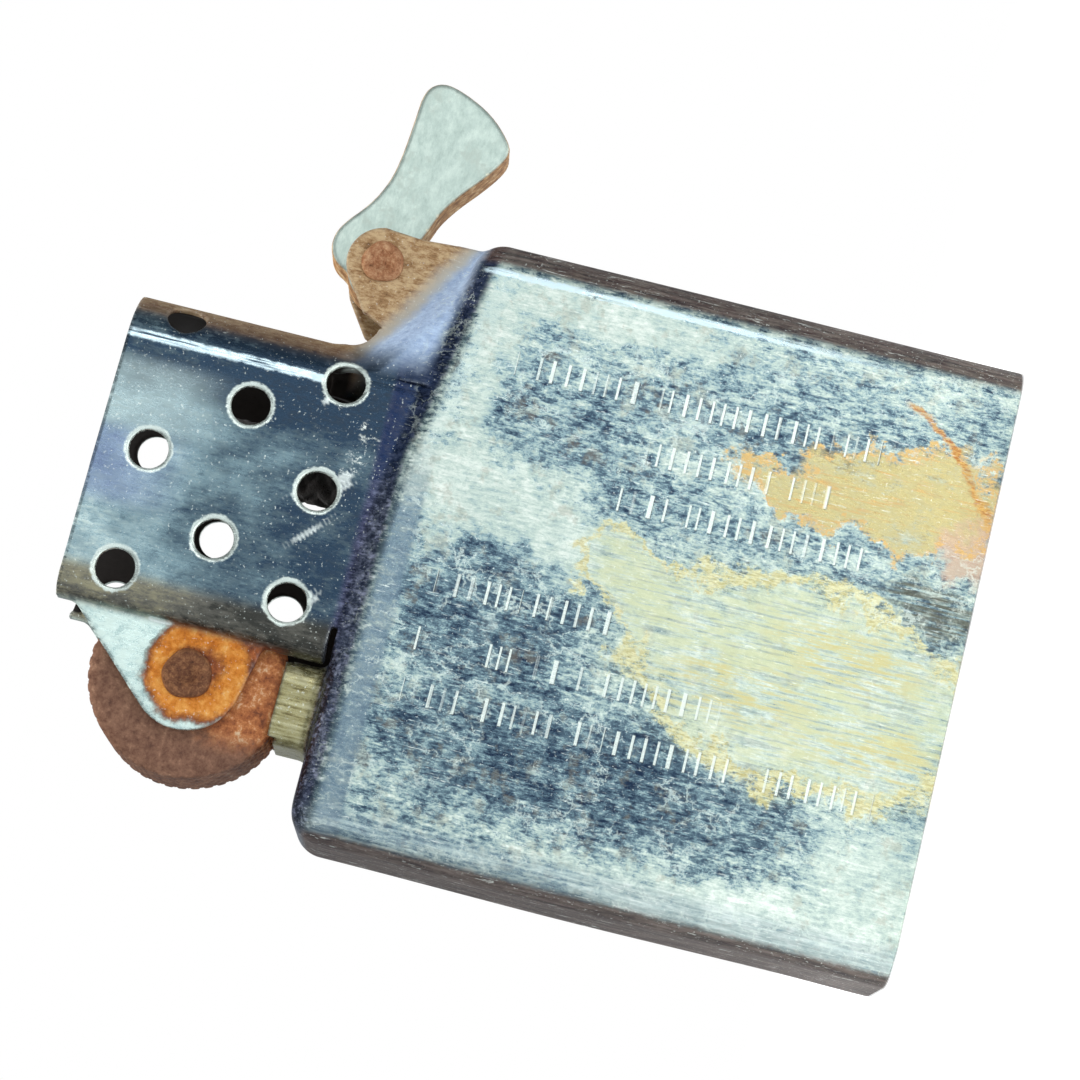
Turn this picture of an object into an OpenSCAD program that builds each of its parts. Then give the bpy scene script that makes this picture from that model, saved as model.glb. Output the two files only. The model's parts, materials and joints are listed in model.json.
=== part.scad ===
// Insert (inner unit) of a windproof wick lighter.
// Frame: +Z up to the top of the windscreen, +X to the snap cam, -X to the flint wheel.
// The origin is the centre of the case's open bottom rim. Millimetres throughout.

/* [Case] */
// Width of the case
case_w = 36.0; // [30:0.5:48]
// Depth of the case
case_d = 11.0; // [10.5:0.25:16]
// Height of the wheel-side deck
case_h = 34.0; // [28:0.5:46]
// Sheet thickness
wall = 0.45; // [0.35:0.05:0.6]
// Radius of the upright corners
corner_r = 2.5; // [1.5:0.1:3]
// Radius of the deck's rolled edge
deck_r = 1.8; // [1:0.1:2.2]
// How far the cam side of the case stops below the deck
cam_drop = 2.0; // [1:0.1:3]

/* [Windscreen] */
// Width of the windscreen
screen_w = 18.35; // [16:0.25:22]
// Offset of the windscreen's middle from the case's middle
screen_x = 1.075; // [-1:0.05:2]
// How far the windscreen stands above the deck
screen_rise = 15.8; // [13:0.1:20]
// Step from the case's face back to the windscreen's face
screen_step = 0.8; // [0.5:0.05:1]
// Corner radius on the cam side
screen_r = 3.0; // [2:0.1:3.5]
// Corner radius on the wheel side
screen_wheel_r = 1.6; // [1:0.1:1.8]
// Air hole radius
hole_r = 1.1; // [0.8:0.05:1.25]
// Height between two rows of air holes
hole_rise = 4.87; // [4.5:0.05:5.5]
// Half the distance between two air holes in the middle row
hole_gap = 3.95; // [3.5:0.05:4.2]
// Height of the lowest air holes above the deck
hole_row = 3.1; // [2.6:0.05:3.4]
// Turn of the corner's air hole away from the face
hole_turn = 40; // [30:1:50]

/* [Flint wheel] */
// Outside radius of the wheel
wheel_r = 5.65; // [5:0.05:6]
// Width over the wheel's teeth
wheel_w = 5.0; // [4:0.1:5.2]
// Wheel axle, from the windscreen's wheel-side edge
wheel_out = 2.5; // [2:0.1:3.5]
// Height of the wheel axle above the deck
wheel_rise = 7.5; // [7:0.1:9]
// Number of teeth
teeth = 48; // [30:2:60]
// Depth of a tooth
tooth_depth = 0.3; // [0.2:0.05:0.4]
// Radius of the rounded end of the wheel ears
wheel_ear_r = 3.1; // [2.6:0.1:3.4]
// Outside half width over the wheel ears
wheel_ear_y = 3.5; // [3.3:0.05:3.8]
// Radius of the wheel rivet
wheel_pin_r = 1.05; // [0.8:0.05:1.3]

/* [Cam] */
// Cam axle, from the case's cam-side edge
cam_in = 2.6; // [2.4:0.1:3]
// Height of the cam axle above the deck
cam_rise = 3.05; // [2.8:0.05:3.5]
// Thickness of the cam's blade
cam_t = 2.6; // [2:0.1:3]
// Length of the cam from its axle to the tip
cam_l = 12.0; // [10:0.25:14]
// Radius of the cam's hub
cam_hub_r = 2.1; // [1.8:0.05:2.2]
// Radius of the rounded end of the cam ears
cam_ear_r = 2.1; // [1.9:0.05:2.3]
// Outside half width over the cam ears
cam_ear_y = 3.0; // [2.6:0.05:3.2]
// Radius of the cam rivet
cam_pin_r = 0.9; // [0.7:0.05:1.1]
// Thickness of the leaf spring
leaf_t = 0.3; // [0.2:0.05:0.4]
// Width of the leaf spring
leaf_w = 3.2; // [2:0.1:3.6]

/* [Flint feed] */
// Radius of the flint
flint_r = 1.2; // [1:0.05:1.3]
// Length of a new flint
flint_l = 5.0; // [3:0.25:6]
// Wall of the flint tube
tube_wall = 0.7; // [0.5:0.05:0.8]
// Radius of the spring screw's shank
screw_r = 1.35; // [1.2:0.05:1.5]
// Radius of the spring screw's head
screw_head_r = 2.6; // [2.2:0.1:3]
// Thickness of the spring screw's head
screw_head_t = 1.2; // [0.8:0.1:1.4]
// Length of the spring screw's shank
screw_l = 4.5; // [3:0.25:6]

/* [Tank] */
// Thickness of the felt
felt_t = 3.0; // [2:0.25:4]
// Depth from the rim to the felt
recess = 2.0; // [1.6:0.1:3]
// Number of cotton pads
pads = 5; // [5]
// Radius of the wick
wick_r = 2.0; // [1.5:0.1:2.3]
// Wick, from the windscreen's middle
wick_x = 2.1; // [0.5:0.1:3]
// How far the wick's top stays below the windscreen's top
wick_below = 4.8; // [4.6:0.1:8]

/* [Fits] */
// Radial clearance of a pin in its hole
pin_gap = 0.05; // [0.02:0.01:0.1]
// Radial clearance of the flint in its tube
flint_gap = 0.08; // [0.03:0.01:0.1]
// Gap between parts that move past each other
move_gap = 0.1; // [0.05:0.05:0.2]

/* [Hidden] */
$fn = 48;
eps = 0.01;
far = 80;

// Windscreen
screen_x0 = screen_x - screen_w / 2;
screen_x1 = screen_x + screen_w / 2;
screen_y = case_d / 2 - screen_step;
screen_top = case_h + screen_rise;
slot_h = 0.35;
slot_l = 1.9;
// The rear wall's holes sit a little higher than the front wall's
rear_lift = 0.8;

// Wheel
wheel_x = screen_x0 - wheel_out;
wheel_z = case_h + wheel_rise;
wheel_head_r = wheel_pin_r + 0.35;
rivet_head_t = 0.35;

// Cam
cam_x = case_w / 2 - cam_in;
cam_z = case_h + cam_rise;
cam_head_r = cam_pin_r + 0.3;
notch_x = screen_x1 + 1.35;
notch_z = cam_z - 1.15;
fillet_r = 1.55;

// Top plate, under the lower cam-side deck
plate_t = 0.5;
plate_top = case_h - cam_drop - deck_r - 0.1;
plate_z = plate_top - plate_t;

// Flint feed, from the wheel down to the screw
bore_r = flint_r + flint_gap;
tube_r = bore_r + tube_wall;
boss_gap = 0.25;
boss_x = tube_r + wall;
boss_y = wheel_w / 2 + move_gap + wall;
boss_r = 1.2;
boss_rise = 0.8;
neck_top = wheel_z - wheel_r - boss_gap;
flint_top = wheel_z - wheel_r - move_gap;
flint_low = flint_top - flint_l;
pusher_r = bore_r - flint_gap;
pusher_t = 2.0;
pusher_stem = 3.0;
spring_r = bore_r - 0.12;
wire_d = 0.4;
screw_top = recess + screw_l;
screw_bore_r = screw_r + pin_gap;
screw_slot = 0.7;
spring_top = flint_low - pusher_t;

// Cam leaf spring: a foot on the plate, a round bend and a leaf under the hub
leaf_top = cam_z - cam_hub_r - 0.25;
leaf_bend = (leaf_top - plate_top) / 2;
leaf_bend_x = screen_x1 + 0.45 + leaf_bend;
leaf_rivet_x = leaf_bend_x + 2.6;
leaf_rivet_r = 0.6;
leaf_end = cam_x + 1.6;

// Tank
pad_low = recess + felt_t;
pad_h = (plate_z - pad_low) / pads;
wick_cx = screen_x + wick_x;
wick_low = pad_low + pad_h * 0.8;
wick_top = screen_top - wick_below;
flap_x = wheel_x + screw_head_r + 3.8;
flap_gap = 0.5;

// ---- Shared shapes ----

// A rectangle with round corners, centred
module round_rect(w, d, r) {
    square([w - 2 * r, d], center = true);
    square([w, d - 2 * r], center = true);
    for (x = [-1, 1], y = [-1, 1])
        translate([x * (w / 2 - r), y * (d / 2 - r)]) circle(r);
}

// The case's plan, drawn in by i
module case_plan(i) {
    round_rect(case_w - 2 * i, case_d - 2 * i, corner_r - i);
}

// A gate shape of width w with its two top corners round
module gate(w, top, r) {
    translate([-w / 2, -far]) square([w, far + top - r]);
    translate([-w / 2 + r, -far]) square([w - 2 * r, far + top]);
    for (x = [-1, 1]) translate([x * (w / 2 - r), top - r]) circle(r);
}

// Stands an XY outline up in the XZ plane and gives it a depth either side of y = 0
module upright(half) {
    rotate([90, 0, 0]) translate([0, 0, -half]) linear_extrude(2 * half) children();
}

// The case's block with its top edge rolled in on all sides, drawn in by i
module case_block(top, i) {
    intersection() {
        translate([0, 0, -i]) linear_extrude(top) case_plan(i);
        upright(far) gate(case_w - 2 * i, top - i, deck_r - i);
        rotate([0, 0, 90]) upright(far) gate(case_d - 2 * i, top - i, deck_r - i);
    }
}

// A pin along Y
module pin_y(r, half) {
    rotate([90, 0, 0]) cylinder(r = r, h = 2 * half, center = true);
}

// ---- Windscreen and ears ----

// The windscreen's plan, drawn in by i; open runs its wheel side out by that much
module screen_plan(i, open = 0) {
    r = screen_r - i;
    rw = screen_wheel_r - i;
    y = screen_y - i;
    x0 = screen_x0 + i;
    x1 = screen_x1 - i;
    turn = screen_x0 + 1.5;
    ear = wheel_ear_y - i;
    translate([turn, -y]) square([x1 - r - turn, 2 * y]);
    translate([turn, -(y - r)]) square([x1 - turn, 2 * (y - r)]);
    for (s = [-1, 1]) {
        translate([x1 - r, s * (y - r)]) circle(r);
        intersection() {
            translate([turn, s * (y - rw)]) circle(rw);
            translate([screen_x0 - open, -far / 2]) square([2 * rw + open, far]);
        }
    }
    translate([screen_x0 - open, -(ear - eps)]) square([turn - screen_x0 + open, 2 * (ear - eps)]);
}

// The wheel ears seen from the front: a slanted top edge running down to the round end
module wheel_ear_outline() {
    corner = [screen_x0, screen_top - 1.15];
    to_corner = corner - [wheel_x, wheel_z];
    reach = norm(to_corner);
    turn = atan2(to_corner[1], to_corner[0]) + acos(wheel_ear_r / reach);
    tangent = [wheel_x + wheel_ear_r * cos(turn), wheel_z + wheel_ear_r * sin(turn)];
    low = wheel_z - wheel_ear_r;
    translate([wheel_x, wheel_z]) circle(wheel_ear_r);
    polygon([corner, tangent, [wheel_x, wheel_z], [wheel_x, low], [wheel_x + 1.6, low - 0.4],
        [screen_x0 + 0.7, low - 0.6], [screen_x0 + 0.7, corner[1] + 0.3]]);
}

// The walls between the windscreen and the cam, seen from the front
module cam_ear_outline() {
    difference() {
        union() {
            translate([cam_x, cam_z]) circle(cam_ear_r);
            polygon([[screen_x1 - 1, plate_top - 2], [case_w / 2 - 0.5, plate_top - 2],
                [case_w / 2 - 0.7, cam_z - 1.5], [cam_x + cam_ear_r, cam_z], [cam_x, cam_z],
                [cam_x - 1.25, cam_z + 1.6], [cam_x - 3.1, cam_z + 0.4], [notch_x, notch_z],
                [notch_x - 0.2, notch_z + 0.4], [screen_x1 - 1, notch_z + 1.8]]);
        }
        translate([notch_x - fillet_r + 0.15, notch_z + fillet_r + 0.35]) circle(fillet_r);
    }
}

// The slanted shoulder that carries the windscreen's face down to the case's cam corner
module shoulder_outline(i) {
    polygon([[screen_x0 + 2, plate_top - 2], [case_w / 2 - 0.7 - i, plate_top - 2],
        [case_w / 2 - 0.7 - i, case_h - cam_drop - 0.9 - i], [screen_x1 - 0.6, case_h + 2.6 - i],
        [screen_x0 + 2, case_h + 2.6 - i]]);
}

// Everything the sheet wraps round, drawn in by i
module sheet_core(i) {
    case_block(case_h - cam_drop, i);
    intersection() {
        case_block(case_h, i);
        translate([-far, -far / 2, -far / 2]) cube([far + screen_x1 - i, far, far * 2]);
    }
    upright(screen_y - i) shoulder_outline(i);
}

// Air holes of one wall, as [across, row]; side is -1 for the front and 1 for the rear
function hole_places(side) = side < 0
    ? [[0, 2], [-7.0, 2], [-hole_gap - 0.1, 1], [hole_gap - 0.1, 1], [0, 0], [-6.55, 0], [6.4, 0]]
    : [[1.7, 2], [-7.3, 2], [1.6 - hole_gap, 1], [hole_gap - 0.6, 1], [0.2, 0], [-5.7, 0], [5.9, 0]];

module air_holes(side) {
    low = case_h + hole_row + (side > 0 ? rear_lift : 0);
    for (p = hole_places(side))
        translate([screen_x + p[0], side * case_d / 2, low + p[1] * hole_rise])
            rotate([90, 0, 0]) cylinder(r = hole_r, h = case_d - 2, center = true);
    // The top row's last hole points out of the rounded corner
    translate([screen_x1 - screen_r, side * (screen_y - screen_r), low + 2 * hole_rise])
        rotate([90, 0, side < 0 ? hole_turn : 180 - hole_turn]) cylinder(r = hole_r, h = 2 * screen_r);
}

// The deck's drawn-up boss round the flint tube, with a pocket that the wheel's teeth run in
module boss() {
    difference() {
        translate([wheel_x, 0, case_h - wall]) linear_extrude(neck_top + boss_rise - case_h + wall)
            round_rect(2 * boss_x, 2 * boss_y, boss_r);
        translate([wheel_x, 0, 0]) cylinder(r = tube_r, h = far);
        translate([wheel_x, 0, wheel_z]) pin_y(wheel_r + boss_gap, wheel_w / 2 + move_gap);
    }
}

// ---- Sub-parts ----

module case_shell() {
    color([0.62, 0.66, 0.70]) {
        difference() {
            union() {
                sheet_core(0);
                translate([0, 0, plate_top]) linear_extrude(screen_top - plate_top) screen_plan(0);
                upright(wheel_ear_y) wheel_ear_outline();
                upright(cam_ear_y) cam_ear_outline();
            }
            sheet_core(wall);
            // Inside of the windscreen, open at the top and towards the wheel
            translate([0, 0, plate_top - eps]) linear_extrude(far) screen_plan(wall);
            translate([0, 0, case_h + slot_h]) linear_extrude(far) screen_plan(wall, 2);
            translate([-far, -(wheel_ear_y - wall), case_h]) cube([far + screen_x0 + 1,
                2 * (wheel_ear_y - wall), far]);
            // Gap for the cam
            translate([screen_x1, -(cam_ear_y - wall), plate_top])
                cube([far, 2 * (cam_ear_y - wall), far]);
            // Cut that frees the windscreen's wheel side from the deck
            translate([screen_x0 - 0.5, -case_d / 2, case_h])
                cube([slot_l + 0.5, case_d, slot_h]);
            for (side = [-1, 1]) air_holes(side);
            translate([wheel_x, 0, wheel_z]) pin_y(wheel_pin_r, case_d);
            translate([cam_x, 0, cam_z]) pin_y(cam_pin_r, case_d);
            translate([wheel_x, 0, 0]) cylinder(r = tube_r, h = wheel_z);
        }
        boss();
    }
}

module top_plate() {
    color([0.70, 0.62, 0.42]) difference() {
        translate([0, 0, plate_z]) linear_extrude(plate_t) case_plan(wall);
        translate([wheel_x, 0, 0]) cylinder(r = tube_r, h = far);
        translate([wick_cx, 0, 0]) cylinder(r = wick_r, h = far);
        translate([leaf_rivet_x, 0, 0]) cylinder(r = leaf_rivet_r, h = far);
    }
}

module flint_tube() {
    color([0.72, 0.66, 0.45]) translate([wheel_x, 0, 0]) difference() {
        translate([0, 0, recess]) cylinder(r = tube_r, h = neck_top - recess);
        cylinder(r = bore_r, h = far);
        cylinder(r = screw_bore_r, h = screw_top + 0.4);
    }
}

// A rivet along Y with a dished head on each side
module rivet_y(r, head_r, ear_y) {
    difference() {
        union() {
            pin_y(r, ear_y);
            for (s = [-1, 1]) rotate([s * 90, 0, 0]) translate([0, 0, ear_y])
                cylinder(r1 = head_r, r2 = head_r - 0.15, h = rivet_head_t);
        }
        for (s = [-1, 1]) rotate([s * 90, 0, 0]) translate([0, 0, ear_y])
            cylinder(r1 = r * 0.35, r2 = r * 0.6, h = rivet_head_t + eps);
    }
}

module wheel_rivet() {
    color([0.45, 0.30, 0.20]) translate([wheel_x, 0, wheel_z])
        rivet_y(wheel_pin_r, wheel_head_r, wheel_ear_y);
}

module flint_wheel() {
    half_teeth = wheel_w / 2;
    cheek_step = 0.15;
    hub = wheel_ear_y - wall - move_gap;
    step = 180 / teeth;
    points = [for (k = [0 : 2 * teeth - 1])
        let (r = wheel_r - (k % 2) * tooth_depth) [r * cos(k * step), r * sin(k * step)]];
    color([0.42, 0.34, 0.30]) translate([wheel_x, 0, wheel_z]) difference() {
        union() {
            upright(half_teeth - 0.4) polygon(points);
            pin_y(wheel_r - tooth_depth - cheek_step, half_teeth);
            pin_y(wheel_pin_r + 0.9, hub);
        }
        pin_y(wheel_pin_r + pin_gap, far);
    }
}

// The cam's blade: a neck that widens into a tip with a lobe below
module cam_outline() {
    tip = cam_l / 12;
    circle(cam_hub_r);
    polygon([[-0.5, 2.1], [-0.1, 2.9], [0.9, 3.3], [2.1, 3.05], [3.8, 1.75], [5.4 * tip, 1.0],
        [7.1 * tip, 0.7], [9.3 * tip, 0.55], [11.3 * tip, 0.3], [11.85 * tip, -0.2],
        [12.0 * tip, -0.9], [11.8 * tip, -1.95], [10.9 * tip, -3.65], [9.5 * tip, -4.95],
        [8.85 * tip, -5.25], [7.9 * tip, -4.95], [6.65 * tip, -4.1], [5.5 * tip, -3.15],
        [4.25, -2.35], [3.35, -2.05], [1.6, -1.36], [-1.9, 0.8]]);
}

module cam() {
    hub = cam_ear_y - wall - move_gap;
    color([0.74, 0.78, 0.74]) translate([cam_x, 0, cam_z]) difference() {
        union() {
            upright(cam_t / 2) cam_outline();
            pin_y(cam_hub_r - 0.4, hub);
        }
        pin_y(cam_pin_r + pin_gap, far);
    }
}

module cam_rivet() {
    color([0.60, 0.40, 0.26]) translate([cam_x, 0, cam_z])
        rivet_y(cam_pin_r, cam_head_r, cam_ear_y);
}

module cam_spring() {
    foot_end = leaf_rivet_x + 1.2;
    mid = plate_top + leaf_bend;
    color([0.55, 0.52, 0.48]) difference() {
        upright(leaf_w / 2) {
            translate([leaf_bend_x, plate_top]) square([foot_end - leaf_bend_x, leaf_t]);
            translate([leaf_bend_x, leaf_top - leaf_t]) square([leaf_end - leaf_bend_x, leaf_t]);
            difference() {
                translate([leaf_bend_x, mid]) circle(leaf_bend);
                translate([leaf_bend_x, mid]) circle(leaf_bend - leaf_t);
                translate([leaf_bend_x, mid - far / 2]) square([far, far]);
            }
        }
        translate([leaf_rivet_x, 0, plate_top - 1]) cylinder(r = leaf_rivet_r, h = 1.5 + leaf_t);
    }
}

module cam_spring_rivet() {
    tail = 0.4;
    color([0.66, 0.60, 0.45]) translate([leaf_rivet_x, 0, plate_z - tail]) {
        cylinder(r = leaf_rivet_r, h = tail + plate_t + leaf_t);
        translate([0, 0, tail + plate_t + leaf_t]) cylinder(r1 = 1.1, r2 = 0.8, h = 0.45);
    }
}

module flint() {
    color([0.35, 0.33, 0.32]) translate([wheel_x, 0, flint_low]) cylinder(r = flint_r, h = flint_l);
}

module flint_pusher() {
    color([0.78, 0.66, 0.36]) translate([wheel_x, 0, 0]) {
        translate([0, 0, spring_top]) cylinder(r = pusher_r, h = pusher_t);
        translate([0, 0, spring_top - pusher_stem])
            cylinder(r = spring_r - wire_d - 0.12, h = pusher_stem);
    }
}

// The coil's envelope: a sleeve from the screw up to the pusher
module flint_spring() {
    color([0.70, 0.70, 0.72]) translate([wheel_x, 0, screw_top]) difference() {
        cylinder(r = spring_r, h = spring_top - screw_top);
        translate([0, 0, -1]) cylinder(r = spring_r - wire_d, h = far);
    }
}

module spring_screw() {
    low = recess - move_gap - screw_head_t;
    color([0.76, 0.66, 0.40]) translate([wheel_x, 0, 0]) difference() {
        union() {
            translate([0, 0, low]) cylinder(r = screw_head_r, h = screw_head_t);
            translate([0, 0, low + screw_head_t])
                cylinder(r = screw_r, h = screw_top - low - screw_head_t);
        }
        translate([-far / 2, -screw_slot / 2, low - 1]) cube([far, screw_slot, 1.6]);
    }
}

module wick() {
    color([0.30, 0.27, 0.24]) translate([wick_cx, 0, wick_low]) {
        cylinder(r = wick_r, h = wick_top - wick_low - 0.6);
        translate([0, 0, wick_top - wick_low - 0.6]) cylinder(r1 = wick_r, r2 = wick_r - 0.5, h = 0.6);
    }
}

// One layer of cotton, the first at the bottom
module cotton_pad(k) {
    color([0.93, 0.91, 0.86]) difference() {
        translate([0, 0, pad_low + (k - 1) * pad_h]) linear_extrude(pad_h) case_plan(wall);
        tube_space();
        translate([wick_cx, 0, wick_low]) cylinder(r = wick_r, h = far);
        if (k == pads) translate([leaf_rivet_x, 0, plate_z - 0.4]) cylinder(r = leaf_rivet_r, h = 1);
    }
}

// Space for the flint tube
module tube_space() {
    translate([wheel_x, 0, 0]) cylinder(r = tube_r, h = far);
}

module felt_pad() {
    color([0.85, 0.83, 0.78]) difference() {
        intersection() {
            translate([0, 0, recess]) linear_extrude(felt_t) case_plan(wall);
            translate([-far, -far / 2, 0]) cube([far + flap_x, far, far]);
        }
        tube_space();
    }
}

// The free end of the felt, which lifts out to fill the tank
module felt_flap() {
    room = 0.35;
    color([0.85, 0.83, 0.78]) intersection() {
        translate([0, 0, recess]) linear_extrude(felt_t - move_gap) case_plan(wall + room);
        translate([flap_x + flap_gap, -far / 2, 0]) cube([far, far, far]);
    }
}

case_shell();
top_plate();
flint_tube();
wheel_rivet();
flint_wheel();
cam();
cam_rivet();
cam_spring();
cam_spring_rivet();
flint();
flint_pusher();
flint_spring();
spring_screw();
wick();
cotton_pad(1);  // cotton_pad_1
cotton_pad(2);  // cotton_pad_2
cotton_pad(3);  // cotton_pad_3
cotton_pad(4);  // cotton_pad_4
cotton_pad(5);  // cotton_pad_5
felt_pad();
felt_flap();
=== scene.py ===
"""Looks for the lighter insert: tarnished sheet case, rusted wheel and rivets, satin cam, cotton and felt."""
import json
import math

import bmesh
import bpy
import numpy as np
from mathutils import Matrix, Vector


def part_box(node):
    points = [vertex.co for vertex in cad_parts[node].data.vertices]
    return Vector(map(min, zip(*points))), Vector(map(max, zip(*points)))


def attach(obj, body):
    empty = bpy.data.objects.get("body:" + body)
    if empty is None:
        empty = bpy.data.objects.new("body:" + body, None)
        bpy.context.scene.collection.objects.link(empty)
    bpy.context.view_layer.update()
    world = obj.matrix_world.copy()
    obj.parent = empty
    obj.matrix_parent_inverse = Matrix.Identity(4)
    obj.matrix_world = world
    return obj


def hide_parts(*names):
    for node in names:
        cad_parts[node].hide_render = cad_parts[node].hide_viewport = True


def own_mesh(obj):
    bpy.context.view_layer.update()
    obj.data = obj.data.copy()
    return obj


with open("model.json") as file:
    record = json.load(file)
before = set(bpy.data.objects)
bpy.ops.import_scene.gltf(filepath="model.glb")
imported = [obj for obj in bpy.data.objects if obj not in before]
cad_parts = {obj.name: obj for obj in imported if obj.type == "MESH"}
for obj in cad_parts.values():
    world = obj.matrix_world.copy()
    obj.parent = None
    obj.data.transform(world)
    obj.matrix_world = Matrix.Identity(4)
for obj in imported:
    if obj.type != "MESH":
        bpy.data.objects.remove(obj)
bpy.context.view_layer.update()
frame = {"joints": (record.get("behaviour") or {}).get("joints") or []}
MM = 0.001


# ---------------------------------------------------------------- sizes, in millimetres, from the frame
def node_box(name):
    low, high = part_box(name)
    return [v / MM for v in low], [v / MM for v in high]


def joint_at(name):
    joint = next(j for j in frame["joints"] if j["name"] == name)
    return [v / MM for v in joint["pos_m"]]


CASE_LOW, CASE_HIGH = node_box("case_shell")
CASE_W = CASE_HIGH[0] - CASE_LOW[0]
CASE_D = CASE_HIGH[1] - CASE_LOW[1]
SCREEN_TOP = CASE_HIGH[2]
WHEEL_LOW, WHEEL_HIGH = node_box("flint_wheel")
WHEEL_X, _, WHEEL_Z = joint_at("wheel_spin")
WHEEL_R = (WHEEL_HIGH[0] - WHEEL_LOW[0]) / 2
WHEEL_W = 5.0
CAM_LOW, CAM_HIGH = node_box("cam")
CAM_X, _, CAM_Z = joint_at("cam_swing")
TUBE_LOW, TUBE_HIGH = node_box("flint_tube")
TUBE_R = (TUBE_HIGH[0] - TUBE_LOW[0]) / 2
PLATE_HIGH = node_box("top_plate")[1]

WALL = 0.45
CORNER_R = 2.5
DECK_Z = 34.0
DECK_R = 1.8
CAM_DROP = 2.1
SCREEN_X0, SCREEN_X1 = -8.1, 10.25
SCREEN_Y = 4.7
SCREEN_R = 3.0
SCREEN_WHEEL_R = 1.6
WHEEL_EAR_Y = 3.5
WHEEL_EAR_R = 3.1
CAM_EAR_Y = 3.0
CAM_EAR_R = 2.1
SLOT_H, SLOT_L = 0.35, 1.9
HOLE_R = 1.1
HOLE_RISE = 4.87
HOLE_ROW = 3.1
HOLE_TURN = math.radians(40)
REAR_LIFT = 0.8
SCREEN_MID = (SCREEN_X0 + SCREEN_X1) / 2
MOVE_GAP = 0.1
BOSS_GAP = 0.25
BOSS_R = 1.2
BOSS_RISE = 0.8


# ---------------------------------------------------------------- distance fields, negative inside
def soft_min(a, b, k):
    h = np.clip(0.5 + 0.5 * (b - a) / k, 0, 1)
    return b * (1 - h) + a * h - k * h * (1 - h)


def soft_max(a, b, k):
    return -soft_min(-a, -b, k)


def smooth_step(low, high, value):
    t = np.clip((value - low) / (high - low), 0, 1)
    return t * t * (3 - 2 * t)


def round_rect(x, y, half_x, half_y, r):
    qx = np.abs(x) - half_x + r
    qy = np.abs(y) - half_y + r
    return np.hypot(np.maximum(qx, 0), np.maximum(qy, 0)) + np.minimum(np.maximum(qx, qy), 0) - r


def rolled(side, top, r):
    """A prism of that side distance whose top edge is rolled over with radius r."""
    qs = side + r
    qt = top + r
    return np.hypot(np.maximum(qs, 0), np.maximum(qt, 0)) + np.minimum(np.maximum(qs, qt), 0) - r


def outline_distance(x, z, points):
    """Signed distance in the XZ plane to a closed outline."""
    best = None
    sign = None
    count = len(points)
    for k in range(count):
        ax, az = points[k]
        bx, bz = points[(k + 1) % count]
        ex, ez = bx - ax, bz - az
        wx, wz = x - ax, z - az
        t = np.clip((wx * ex + wz * ez) / (ex * ex + ez * ez), 0, 1)
        d = (wx - ex * t) ** 2 + (wz - ez * t) ** 2
        crossing = (az > z) != (bz > z)
        span = bz - az if bz != az else 1e-9
        flip = crossing & (x < ex * (z - az) / span + ax)
        best = d if best is None else np.minimum(best, d)
        sign = flip if sign is None else sign ^ flip
    return np.where(sign, -1.0, 1.0) * np.sqrt(best)


def smooth_outline(points, rounds=2):
    """Rounds a closed outline's corners by cutting each one twice."""
    for _ in range(rounds):
        cut = []
        for k, (ax, az) in enumerate(points):
            bx, bz = points[(k + 1) % len(points)]
            cut.append((0.75 * ax + 0.25 * bx, 0.75 * az + 0.25 * bz))
            cut.append((0.25 * ax + 0.75 * bx, 0.25 * az + 0.75 * bz))
        points = cut
    return points


# ---------------------------------------------------------------- meshing
def surface_net(field, xs, ys, zs):
    """Closed quad mesh, in millimetres, of the place where field(x, y, z) crosses zero on a grid."""
    value = field(xs[:, None, None], ys[None, :, None], zs[None, None, :])
    value = np.ascontiguousarray(np.broadcast_to(value, (len(xs), len(ys), len(zs))))
    inside = value < 0
    nx, ny, nz = value.shape
    count = np.zeros((nx - 1, ny - 1, nz - 1), dtype=np.int8)
    for i in (0, 1):
        for j in (0, 1):
            for k in (0, 1):
                count += inside[i:nx - 1 + i, j:ny - 1 + j, k:nz - 1 + k]
    active = (count > 0) & (count < 8)
    index = np.full(active.shape, -1, dtype=np.int64)
    cell = np.argwhere(active)
    index[active] = np.arange(len(cell))
    axes = (xs, ys, zs)
    total = np.zeros((len(cell), 3))
    hits = np.zeros(len(cell))
    for axis in range(3):
        others = [a for a in range(3) if a != axis]
        for u in (0, 1):
            for v in (0, 1):
                start = cell.copy()
                start[:, others[0]] += u
                start[:, others[1]] += v
                end = start.copy()
                end[:, axis] += 1
                a = value[tuple(start.T)]
                b = value[tuple(end.T)]
                cross = (a < 0) != (b < 0)
                t = np.where(cross, a / np.where(cross, a - b, 1), 0)
                for c in range(3):
                    p = axes[c][start[:, c]]
                    q = axes[c][end[:, c]]
                    total[:, c] += np.where(cross, p + t * (q - p), 0)
                hits += cross
    points = total / hits[:, None]
    faces = []
    for axis in range(3):
        others = [a for a in range(3) if a != axis]
        low = [slice(None)] * 3
        high = [slice(None)] * 3
        low[axis] = slice(0, -1)
        high[axis] = slice(1, None)
        change = inside[tuple(low)] != inside[tuple(high)]
        edge = np.argwhere(change)
        keep = np.ones(len(edge), dtype=bool)
        for o in others:
            keep &= (edge[:, o] > 0) & (edge[:, o] < value.shape[o] - 1)
        edge = edge[keep]
        quad = []
        for u, v in ((1, 1), (0, 1), (0, 0), (1, 0)):
            c = edge.copy()
            c[:, others[0]] -= u
            c[:, others[1]] -= v
            quad.append(index[tuple(c.T)])
        quad = np.stack(quad, 1)
        outward = inside[tuple(edge.T)]
        if axis == 1:
            outward = ~outward
        faces.append(np.where(outward[:, None], quad, quad[:, ::-1]))
    return settle(field, points), np.concatenate(faces)


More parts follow.
